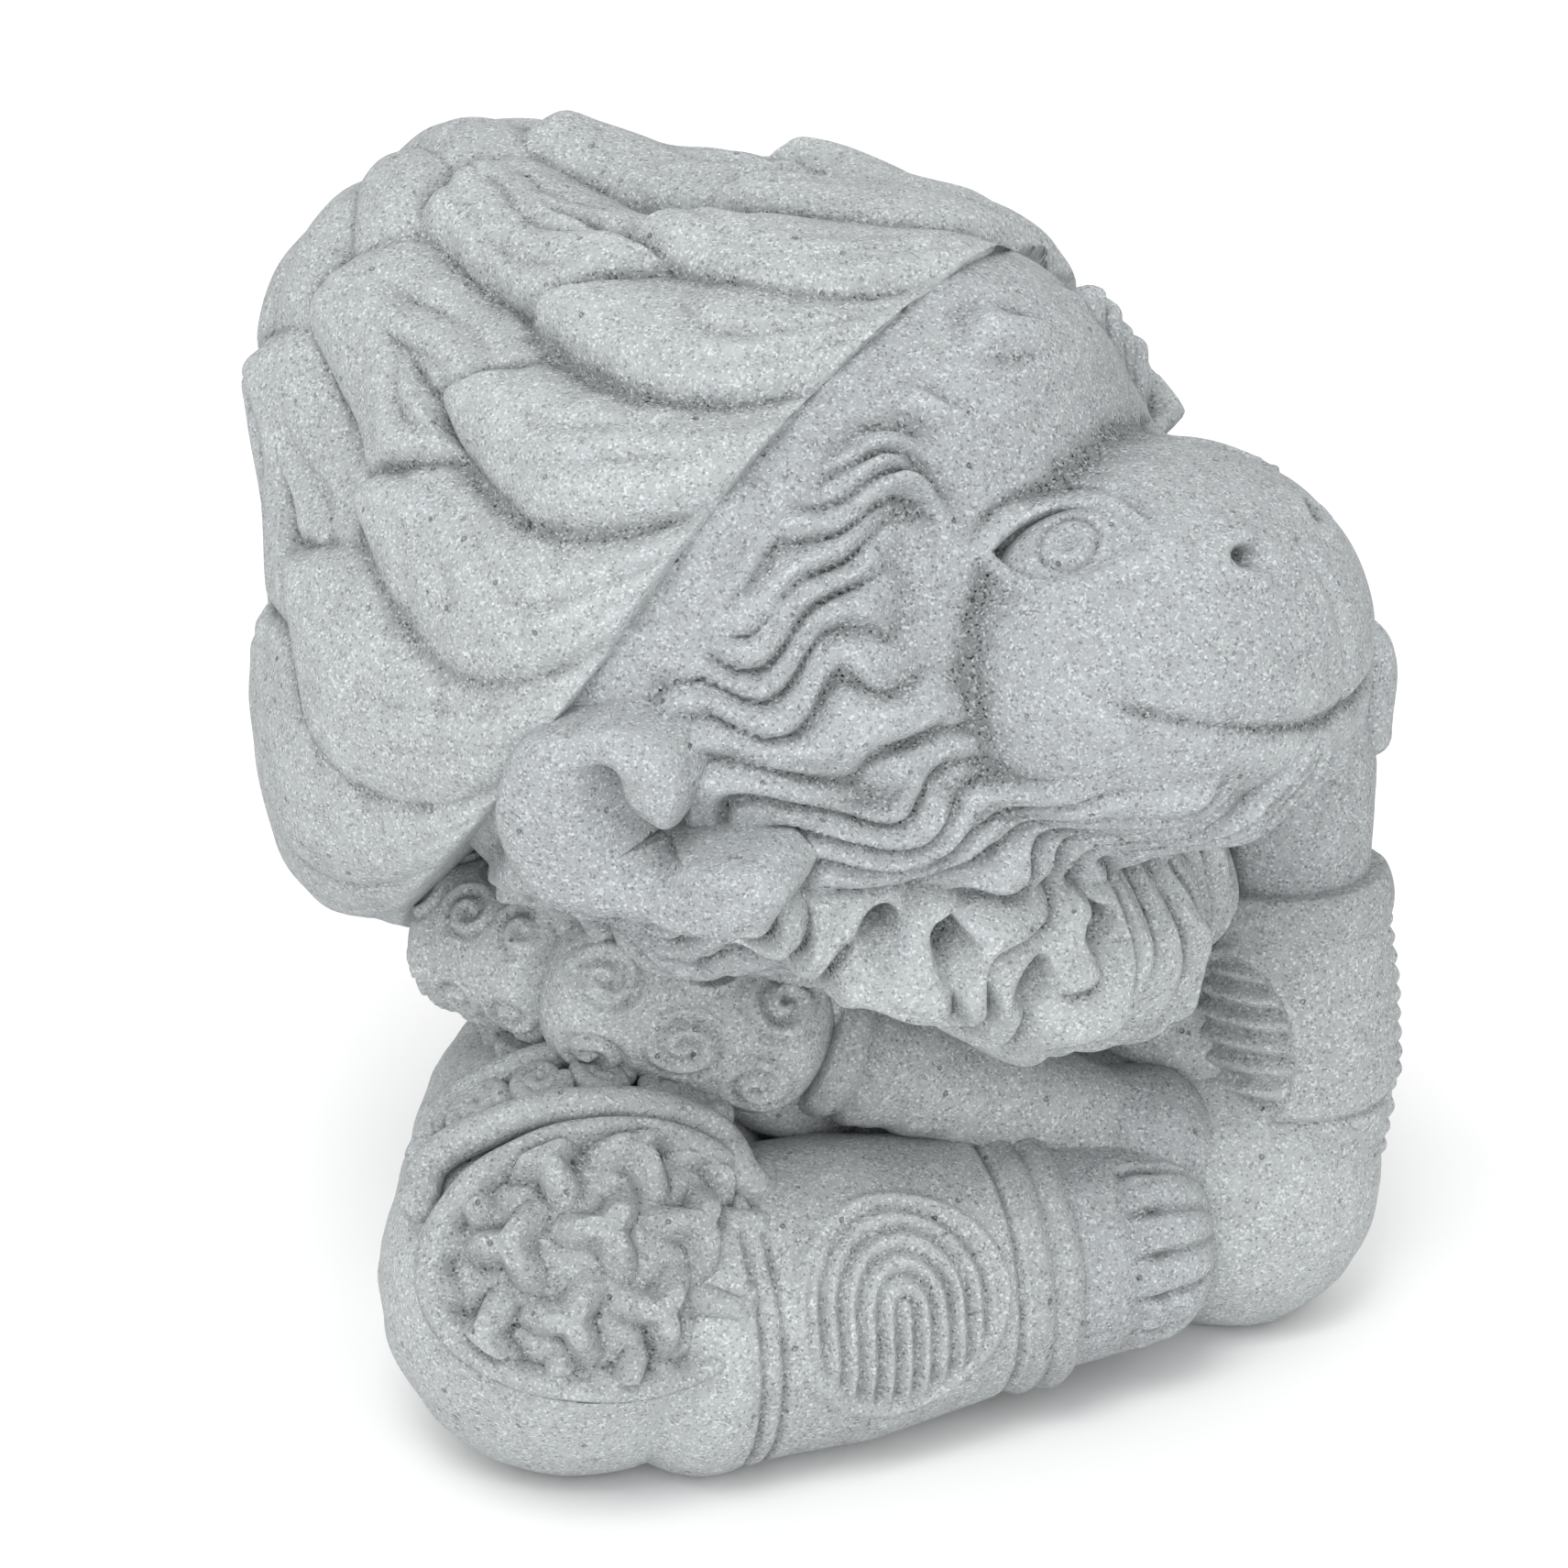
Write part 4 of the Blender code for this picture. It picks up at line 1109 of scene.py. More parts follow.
@dataclass
class Ruff:
    """The lower fringe of cheek fur: a roll under the jaw from ear to ear that melts into the cheeks."""

    reach: float = 80 * DEG
    upper: float = -18 * DEG
    upper_end: float = 2 * DEG
    lower: float = -84 * DEG
    lower_end: float = -46 * DEG
    roll_reach: float = 76 * DEG
    roll_lift: float = -50 * DEG
    roll_end_lift: float = -22 * DEG
    roll_radius: float = 6.5 * MM
    melt: float = 1.2 * MM
    edge_share: float = 0.08
    sink: float = 0.45 * MM
    depth: float = 2.4 * MM
    rows: int = 330
    outer: int = 130
    inner: int = 30

    def roll(self, ways: Array) -> Array:
        """Distance to the far side of the roll: a ball rides on the head's surface under each turn.

        Args:
            ways: Unit directions.

        Returns:
            The distances, or zero where a direction misses the roll.
        """
        turn = np.arctan2(ways[..., 0], -ways[..., 1]).clip(-self.roll_reach, self.roll_reach)
        lift = self.roll_lift + (self.roll_end_lift - self.roll_lift) * (turn / self.roll_reach) ** 2
        middle = facing(turn, lift)
        middle = middle * HEAD.reach(middle)[..., None]
        radius = self.roll_radius * np.cos(turn)
        ahead = (ways * middle).sum(axis=-1)
        inside = ahead ** 2 - (middle ** 2).sum(axis=-1) + radius ** 2
        return np.where(inside > 0, ahead + np.sqrt(np.abs(inside)), 0.0)

    def shell(self, fur: Fur) -> Shell:
        """Rings from one ear to the other, each down the outside and back up inside the head.

        Args:
            fur: The cheek fur.

        Returns:
            The skin.
        """
        turn = np.linspace(-self.reach, self.reach, self.rows)[:, None]
        back = np.linspace(1, 0, self.inner + 2)[1:-1]
        share = np.concatenate([np.linspace(0, 1, self.outer), back])[None, :]
        outside = np.arange(self.outer + self.inner)[None, :] < self.outer
        bow = (turn / self.reach) ** 2
        top = self.upper + (self.upper_end - self.upper) * bow
        low = self.lower + (self.lower_end - self.lower) * bow
        ways = facing(turn, top + (low - top) * share)
        plain = HEAD.reach(ways)
        joined = self.melt * np.logaddexp(plain / self.melt, self.roll(ways) / self.melt)
        edge = smooth(0, self.edge_share, share) * smooth(1, 1 - self.edge_share, share)
        relief = fur.relief(ways) - fur.holes(ways)
        outer = plain + (joined - plain) * edge + relief - self.sink
        return Shell(HEAD.placed(ways * np.where(outside, outer, plain - self.depth)[..., None]))


@dataclass
class Band:
    """The smooth strip along the hairline."""

    columns: int = 420
    across: int = 40
    inside: int = 10
    overlap: float = 1.06
    depth: float = 1.2 * MM
    tuck_start: float = 0.86
    tuck: float = 0.9

    def shell(self, fur: Fur) -> Shell:
        """A low strip square to the hairline's axis: skull, low rise and tips of the fur, closed inside.

        Args:
            fur: The cheek fur.

        Returns:
            The skin.
        """
        share = np.concatenate([np.linspace(-1, 1, self.across), np.linspace(1, -1, self.inside)])[:, None]
        outside = np.arange(self.across + self.inside)[:, None] < self.across
        height = HEAD.band_setback + HEAD.band_width / 2 * self.overlap * share
        off = np.arccos(height / (HEAD.half_height + HEAD.band_height))
        local = polar_ways(off, circle(self.columns)) @ HEAD.band_axes().T
        rise = HEAD.band_height * (1 - self.tuck * smooth(self.tuck_start, 1.0, share)) + fur.relief(local)
        reach = HEAD.skull(local) + np.where(outside, rise, -self.depth)
        rings = np.swapaxes(local * reach[..., None], 0, 1)
        return Shell(HEAD.placed(np.concatenate([rings, rings[:1]])))


@dataclass
class Mane:
    """The swept mane: locks leave the hairline sideways, turn up to the crown and end in slanted tips; above
    the tips a smaller round of curls goes on to a whorl on the crown."""

    radius: float = 24.6 * MM
    setback: float = 5.5 * MM
    drop: float = 4.8 * MM
    thickness: float = 1.0 * MM
    crown_rise: float = 9.2 * MM
    crown_spread: float = 27 * DEG
    edge_gap: float = 0.25 * MM
    edge_start: float = 0.8
    edge_fall: float = 1.2 * MM
    back_fall: float = 3.0 * MM
    back_middle: float = 110 * DEG
    back_spread: float = 50 * DEG
    bow_rise: float = 0.3
    bow_start: float = 0.85
    locks: int = 16
    depth: float = 1.8 * MM
    start: float = 172 * DEG
    sweep: float = 24 * DEG
    sweep_fade: float = 9 * DEG
    tip: float = 38 * DEG
    tip_slant: float = 10 * DEG
    tip_fall: float = 6 * DEG
    tip_swell: float = 0.6
    lean: float = 0.7
    lock_bend: float = 0.16
    lock_waves: float = 11.0
    curls: int = 8
    curl_depth: float = 2.2 * MM
    curl_tip: float = 17 * DEG
    curl_bend: float = 0.12
    curl_waves: float = 12.0
    strands: int = 3
    strand_depth: float = 0.5 * MM
    strand_patch: float = 15.0 * MM
    strand_least: float = 0.3
    strand_span: Pair = (-0.3, 0.25)
    whorl_depth: float = 0.9 * MM
    whorl_twist: float = 7.0
    whorl_power: float = 0.8
    whorl_eye: float = 0.25
    swell_height: float = 0.7 * MM
    swell_length: float = 17.0 * MM
    pit: Ridge = Ridge(0.9 * MM, 0.10, 0.04)
    pit_length: float = 5 * DEG
    calm: tuple[Triple, ...] = ((262, 36, 0.5), (150, 48, 0.66))
    calm_start: Pair = (38 * DEG, 58 * DEG)
    calm_level: float = 0.3
    rows: int = 200
    first_ring: float = 0.01
    tuck_rows: int = 12
    tuck_span: Pair = (0.08, 0.9)
    tuck_depth: float = 0.5
    columns: int = 460

    def profile(self, part: Array) -> Array:
        """Height across a lock, sin(pi * part ** lean): round, steeper below, with a sharp valley."""
        return np.sin(math.pi * part ** self.lean)

    @staticmethod
    def lines(part: Array, number: int, sway: Array) -> Array:
        """Wavy lines between strands, down to -1: |sin| over the share across a lock, which sways."""
        across = np.sin(math.pi * part)
        return (np.abs(np.sin(math.pi * number * (part + sway * across))) - 1) * across

    def stillness(self, off: Array, around: Array) -> Array:
        """How much of the relief is rubbed away: a steep bell about each calm stretch, below the tips.

        Args:
            off: Angle from the crown.
            around: Angle round the crown.

        Returns:
            Shares from 0 to 1.
        """
        still = np.zeros_like(off)
        for middle, spread, share in self.calm:
            away = np.abs(wrapped(around - middle * DEG))
            rubbed = share * plateau(away, spread * DEG) * smooth(*self.calm_start, off)
            still = np.maximum(still, rubbed)
        return still

    def relief(self, off: Array, around: Array, edge: Array) -> Array:
        """Locks with tips, strands and pits, curls and a whorl above them, and soft swells over all.

        Args:
            off: Angle from the crown.
            around: Angle round the crown.
            edge: Angle from the crown to the hairline.

        Returns:
            Height over the plain cap.
        """
        places = self.radius * polar_ways(off, around)
        patch = smooth(*self.strand_span, ripples(places, self.strand_patch, Seed.MANE_STRAND))
        strand_depth = (self.strand_least + (1 - self.strand_least) * patch) * self.strand_depth
        swing = self.sweep * np.exp((off - edge) / self.sweep_fade)
        count = np.mod((around - self.start - swing) * self.locks / math.tau, self.locks)
        part = count - np.floor(count)
        beat = math.tau * chances(np.floor(count), 78.233, 1.3)
        tip = self.tip + self.tip_slant * part
        inside = smooth(0, 1, (off - tip) / self.tip_fall)
        swell = 1 + self.tip_swell * hump((off - tip) / self.tip_slant - 1, 1.0)
        lines = self.lines(part, self.strands, self.lock_bend * np.sin(self.lock_waves * off + beat))
        locks = (self.depth * self.profile(part) * swell + strand_depth * lines) * inside
        turn = np.mod(count * self.curls / self.locks, 1.0)
        hairs = self.lines(turn, self.strands + 1, self.curl_bend * np.sin(self.curl_waves * off + beat))
        rise = smooth(0, 1, (off - self.curl_tip) / self.tip_fall)
        curls = (self.curl_depth * self.profile(turn) + strand_depth * hairs) * rise
        spiral = np.abs(np.sin(self.curls * around / 2 + self.whorl_twist * off))
        whorl = self.whorl_depth * spiral ** self.whorl_power * smooth(0, self.whorl_eye, off)
        height = np.maximum(locks, np.maximum(curls, whorl * (1 - rise)) * (1 - inside))
        pits = self.pit.at(part) * hump(off - tip, self.pit_length)
        still = self.stillness(off, around)
        swells = self.swell_height * ripples(places, self.swell_length, Seed.MANE_SWELL)
        swells = swells * smooth(1.0, self.edge_start, off / edge) - self.depth / 2
        return (height - pits) * (1 - still) + self.calm_level * self.depth * still + swells

    def shell(self) -> Shell:
        """Rings from the crown to the hairline and back inside: a ball joined with the skull, raised at the
        crown, carved, rounded off at the edge and kept behind the hairline's plane.

        Returns:
            The skin.
        """
        plain_around = circle(self.columns)
        bow = HAIRLINE.bow(polar_ways(np.array(math.pi / 2), plain_around + self.sweep) @ HEAD.band_axes().T)
        plane = HEAD.band_setback + HEAD.band_width / 2 + self.edge_gap - bow
        edge = np.arccos(plane / self.radius)
        share = np.concatenate([np.linspace(self.first_ring, 1, self.rows), np.ones(self.tuck_rows)])[:, None]
        tuck = np.concatenate([np.zeros(self.rows), np.linspace(*self.tuck_span, self.tuck_rows)])[:, None]
        off = share * edge
        around = plain_around + self.sweep * np.exp((off - edge) / self.sweep_fade)
        local = polar_ways(off, around) @ HEAD.band_axes().T
        sphere = ellipsoid_reach(local, (0, self.setback, -self.drop), (self.radius,) * 3)
        cap = HEAD.blend(sphere, HEAD.skull(local) + self.thickness + self.depth / 2)
        crown = self.crown_rise * np.exp(-(off / self.crown_spread) ** 3)
        fall = self.edge_fall + self.back_fall * hump(around - self.back_middle, self.back_spread)
        rounded = fall * ((off / edge - self.edge_start) / (1 - self.edge_start)).clip(0, 1) ** 2
        over = self.bow_rise * bow * smooth(self.bow_start, 1.0, off / edge)
        reach = (cap + crown + self.relief(off, around, edge) + over - rounded) * (1 - self.tuck_depth * tuck)
        points = local * reach[..., None]
        behind = HEAD.band_axes()[:, 2]
        points = points + np.maximum(plane - points @ behind, 0)[..., None] * behind
        return Shell(HEAD.placed(points))


@dataclass
class Ear(Part):
    """A thick leaf rolled like a C: a broad upper lobe, a lower lobe that runs forward and a hollow notch
    between them. Its outline gives a reach in millimetres for each angle in degrees."""

    side: Side
    forward: float = 6 * DEG
    drop: float = 12 * DEG
    thickness: float = 3.6 * MM
    root: float = 2.0 * MM
    edge_round: float = 1.7 * MM
    outline: tuple[Pair, ...] = (
        (4, 1.8), (20, 4.4), (34, 6.5), (50, 7.7), (70, 7.6), (90, 7.1), (112, 7.3), (144, 6.4), (180, 5.5),
        (207, 4.9), (235, 3.8), (272, 3.4), (300, 4.4), (316, 6.6), (330, 8.8), (345, 9.6), (354, 8.4),
        (359, 4.6))
    fold: tuple[Pair, ...] = ((2.6, 0.3), (1.7, 1.6), (1.2, 3.2), (1.3, 4.6))
    fold_cut: Ridge = Ridge(1.9 * MM, 1.1 * MM)
    notch_place: Pair = (2.4 * MM, 0.2 * MM)
    notch: Ridge = Ridge(1.6 * MM, 2.2 * MM)
    columns: int = 300

    def shell(self) -> Shell:
        """A pillow over the outline: height falls off round the edge, along the fold and into the notch.

        Returns:
            The skin.
        """
        turn = self.side.value * (math.pi / 2 - self.forward)
        angle = circle(self.columns)
        degrees, reaches = np.array(self.outline).T
        reach = np.interp(angle, np.radians(degrees), reaches, period=math.tau) * MM
        share, drop = pillow_rows(90, 20, 8, 0.01, 0.05)
        x, z = share * reach * np.cos(angle), share * reach * np.sin(angle)
        inset = (reach * (1 - share)).clip(0, self.edge_round)
        bevel = self.edge_round - np.sqrt(self.edge_round ** 2 - (self.edge_round - inset) ** 2)
        line = path_through(self.fold, 40) * MM
        gap = np.hypot(x[..., None] - line[:, 0], z[..., None] - line[:, 1]).min(axis=-1)
        aside = np.hypot(x - self.notch_place[0], z - self.notch_place[1])
        hollow = self.fold_cut.at(gap) + self.notch.at(aside)
        height = (self.thickness - bevel - hollow) * (1 - drop) - self.root * drop
        local = np.stack([-self.side.value * x, -height, z], -1)
        local = local @ looking(turn, -self.drop).T + HEAD.spot(turn, -self.drop)
        return Shell(HEAD.placed(local))

    def pieces(self) -> list[Piece]:
        """The ear of this side."""
        return [("ear_" + self.side.name.lower(), Slot.SKIN, [self.shell()])]


@dataclass
class Head(Part):
    """The head with its face and fur, the ruff under the jaw, the mane and the band at the hairline."""

    fur: Fur = field(default_factory=Fur)

    def pieces(self) -> list[Piece]:
        """The head's pieces, apart from eyes and ears."""
        return [
            ("head", Slot.SKIN, [Face().shell(self.fur)]),
            ("ruff", Slot.HAIR, [Ruff().shell(self.fur)]),
            ("mane", Slot.HAIR, [Mane().shell()]),
            ("headband", Slot.TRIM, [Band().shell(self.fur)]),
        ]


# Body

@dataclass(frozen=True)
class Skeleton:
    """Where limbs run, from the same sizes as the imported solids. Pairs of knee sizes are aside and ahead."""

    ground_sink: float = 1.0 * MM
    hip_spread: float = 11.0 * MM
    torso_forward: float = 3.0 * MM
    torso_half: Pair = (15.5 * MM, 11.5 * MM)
    torso_span: Pair = (9.0 * MM, 33.2 * MM)
    thigh_right: float = 20.6 * MM
    thigh_left: float = 17.0 * MM
    knee_right: Pair = (18.4 * MM, 11.8 * MM)
    knee_left: Pair = (19.6 * MM, 14.0 * MM)
    shin_thickness: float = 16.4 * MM
    shin_length: float = 16.5 * MM
    shin_tuck: float = 5.0 * MM
    shin_toe_in: float = 2.2 * MM
    shin_ahead_right: float = 3.4 * MM
    shin_ahead_left: float = -4.0 * MM
    ankle_thickness: float = 13.8 * MM
    forearm_thickness: float = 7.6 * MM
    sleeve_thickness: float = 9.6 * MM
    shoulder_height: float = 24.5 * MM
    prop_thickness: float = 11.0 * MM
    prop_elbow: Triple = (3.0 * MM, -2.6 * MM, 2.1 * MM)
    hand_thickness: float = 9.0 * MM
    hand_hold: float = 12.0 * MM
    hand_turn: float = 32.5 * DEG
    hand_lift: float = -16 * DEG
    lap_elbow: Triple = (-15.0 * MM, -8.0 * MM, 24.5 * MM)
    lap_sink: float = 1.8 * MM
    lap_steps: int = 200

    def thigh_thickness(self, side: Side) -> float:
        """Thickness of a thigh."""
        return self.thigh_right if side is Side.RIGHT else self.thigh_left

    def knee(self, side: Side) -> Array:
        """Middle of a knee."""
        aside, ahead = self.knee_right if side is Side.RIGHT else self.knee_left
        return np.array((side.value * aside, -ahead, self.thigh_thickness(side) / 2 - self.ground_sink))

    def hip(self, side: Side) -> Array:
        """Middle of a hip."""
        return np.array((side.value * self.hip_spread, 0.0, self.knee(side)[2]))

    def shin(self, side: Side) -> tuple[Array, Array]:
        """Line of a shin, which lies across the front.

        Args:
            side: Which shin.

        Returns:
            Its knee end and its ankle end.
        """
        ahead = self.shin_ahead_right if side is Side.RIGHT else self.shin_ahead_left
        start = self.knee(side)
        first = np.array((start[0] - side.value * self.shin_tuck, start[1] - ahead,
                          self.shin_thickness / 2 - self.ground_sink / 2))
        across = (-side.value * self.shin_length, side.value * math.copysign(self.shin_toe_in, ahead), 0)
        return first, first + np.array(across)

    def shoulder(self, side: Side) -> Array:
        """Middle of a shoulder."""
        aside = self.torso_half[0] - self.sleeve_thickness / 2
        return np.array((side.value * aside, -self.torso_forward, self.shoulder_height))

    def prop(self) -> tuple[Array, Array]:
        """Line of the left forearm.

        Returns:
            The elbow on the left knee and the wrist under the cheek.
        """
        elbow = self.knee(Side.LEFT) + np.array(self.prop_elbow)
        cheek = HEAD.placed(HEAD.spot(self.hand_turn, self.hand_lift, -self.hand_thickness / 2))
        return elbow, cheek - np.array((0, 0, self.hand_hold))

    def lap(self) -> Array:
        """Line of the right forearm.

        Returns:
            Places from the elbow across the lap to the other arm.
        """
        middle = (0, self.shin(Side.RIGHT)[1][1] + self.shin_thickness / 4,
                  self.shin_thickness + self.forearm_thickness / 2 - self.lap_sink)
        end = self.prop()[0] - np.array((self.prop_thickness / 2, 0, 0))
        return path_through([self.lap_elbow, middle, end], self.lap_steps)


BONES = Skeleton()


def scrolls(run: Array, arc: Array, middles: Sequence[Scroll], pitch: float) -> Array:
    """Spiral scrolls: a cosine over the distance from a scroll's middle in pitches, less the turn round it.

    Args:
        run: Distance along the surface.
        arc: Distance across it.
        middles: Place along, place across, radius and winding sense of each scroll.
        pitch: Distance from ridge to ridge.

    Returns:
        Values from -1 in the lines to 1 on the ridges, 0 between scrolls.
    """
    edge = 0.82
    result = np.zeros(np.broadcast(run, arc).shape)
    for along_it, across, radius, sense in middles:
        gap = np.hypot(run - along_it, arc - across)
        angle = np.arctan2(arc - across, run - along_it)
        wave = np.cos(math.tau * gap / pitch - sense * angle)
        result = np.where(gap < radius, wave * smooth(radius, radius * edge, gap), result)
    return result


def twin_ridges(run: Array, turn: Array, length: float) -> Array:
    """Two round ridges side by side, |sin| over the length, that start a little under the skin."""
    height, sink = 0.4 * MM, 0.1 * MM
    return height * np.abs(np.sin(math.tau * run / length)) - sink + 0 * turn


@dataclass
class Body(Part):
    """Torso, haunches and the rolled girdle between them."""

    torso_grid: Grid = (120, 220)
    fold_count: int = 13
    fold_depth: float = 0.35 * MM
    fold_slant: float = 900.0
    fold_sway: float = 2.0
    fold_waves: float = 500.0
    seat_half: Pair = (22.0 * MM, 15.0 * MM)
    seat_height: float = 17.0 * MM
    seat_sink: float = 2.0 * MM
    seat_grid: Grid = (90, 220)
    seat_wear: float = 0.12 * MM
    belt_half: Pair = (18.5 * MM, 14.0 * MM)
    belt_height: float = 19.0 * MM
    belt_thickness: float = 6.0 * MM
    belt_front: float = 5.0 * MM
    belt_grid: Grid = (421, 110)
    curl_count: int = 26
    curl_share: float = 0.62
    curl_depth: float = 0.32 * MM
    curl_pitch: float = 1.25 * MM

    def torso(self) -> Shell:
        """The chest, an ellipsoid with soft folds of cloth as sine waves that slant with the height.

        Returns:
            The skin.
        """
        bottom, top = BONES.torso_span
        half = (top - bottom) / 2
        shell = ball((0, -BONES.torso_forward, top - half), (*BONES.torso_half, half), *self.torso_grid)
        level = shell.rings[..., 2]
        sway = self.fold_sway * np.sin(self.fold_waves * level)
        fold = np.sin(self.fold_count * circle(self.torso_grid[1]) + self.fold_slant * level + sway)
        return Shell(shell.rings + shell.normals() * (self.fold_depth * fold)[..., None])

    def seat(self) -> Shell:
        """The haunches: a low dome that stands on the ground."""
        half = (self.seat_height + self.seat_sink) / 2
        return ball((0, 0, half - self.seat_sink), (*self.seat_half, half), *self.seat_grid)

    def belt(self) -> Shell:
        """A rolled girdle, a tube round two half ellipses, with a row of curls on its outer side.

        Returns:
            The skin.
        """
        steps, columns = self.belt_grid
        radius = self.belt_thickness / 2
        around = np.linspace(0, math.tau, steps)
        half = np.array(self.belt_half) - radius
        depth = np.where(np.sin(around) > 0, half[1], self.belt_front)
        path = np.stack([half[0] * np.cos(around), depth * np.sin(around) - BONES.torso_forward,
                         np.full(steps, self.belt_height)], 1)
        step = np.linalg.norm(np.diff(path, axis=0), axis=1).sum() / self.curl_count
        spots = (np.arange(self.curl_count) + 0.5) * step
        middles = [(spot, 0.0, step * self.curl_share, 1) for spot in spots]

        def curls(run: Array, turn: Array) -> Array:
            """Height of the curls from distance along the roll and angle round it."""
            return self.curl_depth * scrolls(run, radius * wrapped(turn), middles, self.curl_pitch)

        return tube(path, np.full(steps, radius), columns, curls)

    def pieces(self) -> list[Piece]:
        """The body's pieces."""
        return [
            ("torso", Slot.CLOTH, [self.torso()]),
            ("seat", Slot.CLOTH, [self.seat()], self.seat_wear),
            ("belt", Slot.TRIM, [self.belt()]),
        ]


@dataclass
class Leg(Part):
    """A folded leg: thigh and shin. The right shin has an oval of arched stripes and hem lines."""

    side: Side
    thigh_grid: Grid = (90, 200)
    thigh_wear: float = 0.12 * MM
    shin_grid: Grid = (150, 260)
    shin_dome: Pair = (6.8 * MM, 0.6 * MM)
    flare: float = 0.4 * MM
    flare_kept: float = 0.1
    shin_places: Row = (0.0, 0.22, 0.5, 1.0)
    oval_lean: float = 18 * DEG
    oval_place: float = 0.56
    oval_half: Pair = (5.6 * MM, 6.0 * MM)
    oval_edge: Pair = (0.98, 0.86)
    arch_squash: float = 0.9
    stripe_pitch: float = 1.15 * MM
    stripe_height: float = 0.24 * MM
    oval_frame: Ridge = Ridge(0.34 * MM, 0.055, 1.04)
    hems: Pair = (1.2 * MM, 2.4 * MM)
    ankle_hem: float = 0.5 * MM
    hem: Ridge = Ridge(0.4 * MM, 0.22 * MM)

    def thigh(self) -> Shell:
        """A thick round bar from hip to knee with round ends.

        Returns:
            The skin.
        """
        steps, columns = self.thigh_grid
        radius = BONES.thigh_thickness(self.side) / 2
        path = path_through([BONES.hip(self.side), BONES.knee(self.side)], steps)
        return tube(path, np.full(steps, radius), columns, dome=(radius, radius))

    def stripes(self, run: Array, turn: Array) -> Array:
        """Nested arches, a cosine over the distance from the oval's middle, in a frame line, and hem lines.

        Args:
            run: Distance along the shin.
            turn: Angle round it.

        Returns:
            Height over the plain shin.
        """
        arc = BONES.shin_thickness / 2 * wrapped(turn - self.oval_lean)
        aside = run - BONES.shin_length * self.oval_place
        gap = np.hypot(aside / self.oval_half[0], arc / self.oval_half[1])
        nested = np.hypot(aside / self.arch_squash, np.maximum(arc, 0) * self.arch_squash)
        wave = np.cos(math.tau * nested / self.stripe_pitch)
        oval = self.stripe_height * wave * smooth(*self.oval_edge, gap)
        places = (*self.hems, BONES.shin_length - self.ankle_hem)
        return oval + self.oval_frame.at(gap) - sum(self.hem.at(run - place) for place in places)

    def shin(self) -> Shell:
        """A bar across the front that narrows to the ankle.

        Returns:
            The skin.
        """
        right = self.side is Side.RIGHT
        steps, columns = self.shin_grid
        path = path_through(BONES.shin(self.side), steps)
        radius = BONES.shin_thickness / 2
        flare = self.flare if right else 0.0
        sizes = (radius + flare, radius + self.flare_kept * flare, radius, BONES.ankle_thickness / 2)
        radii = np.interp(np.linspace(0, 1, steps), self.shin_places, sizes)
        return tube(path, radii, columns, self.stripes if right else None, dome=self.shin_dome)

    def pieces(self) -> list[Piece]:
        """Thigh and shin."""
        return [
            ("thigh_" + self.side.name.lower(), Slot.CLOTH, [self.thigh()], self.thigh_wear),
            ("shin_" + self.side.name.lower(), Slot.CLOTH, [self.shin()]),
        ]


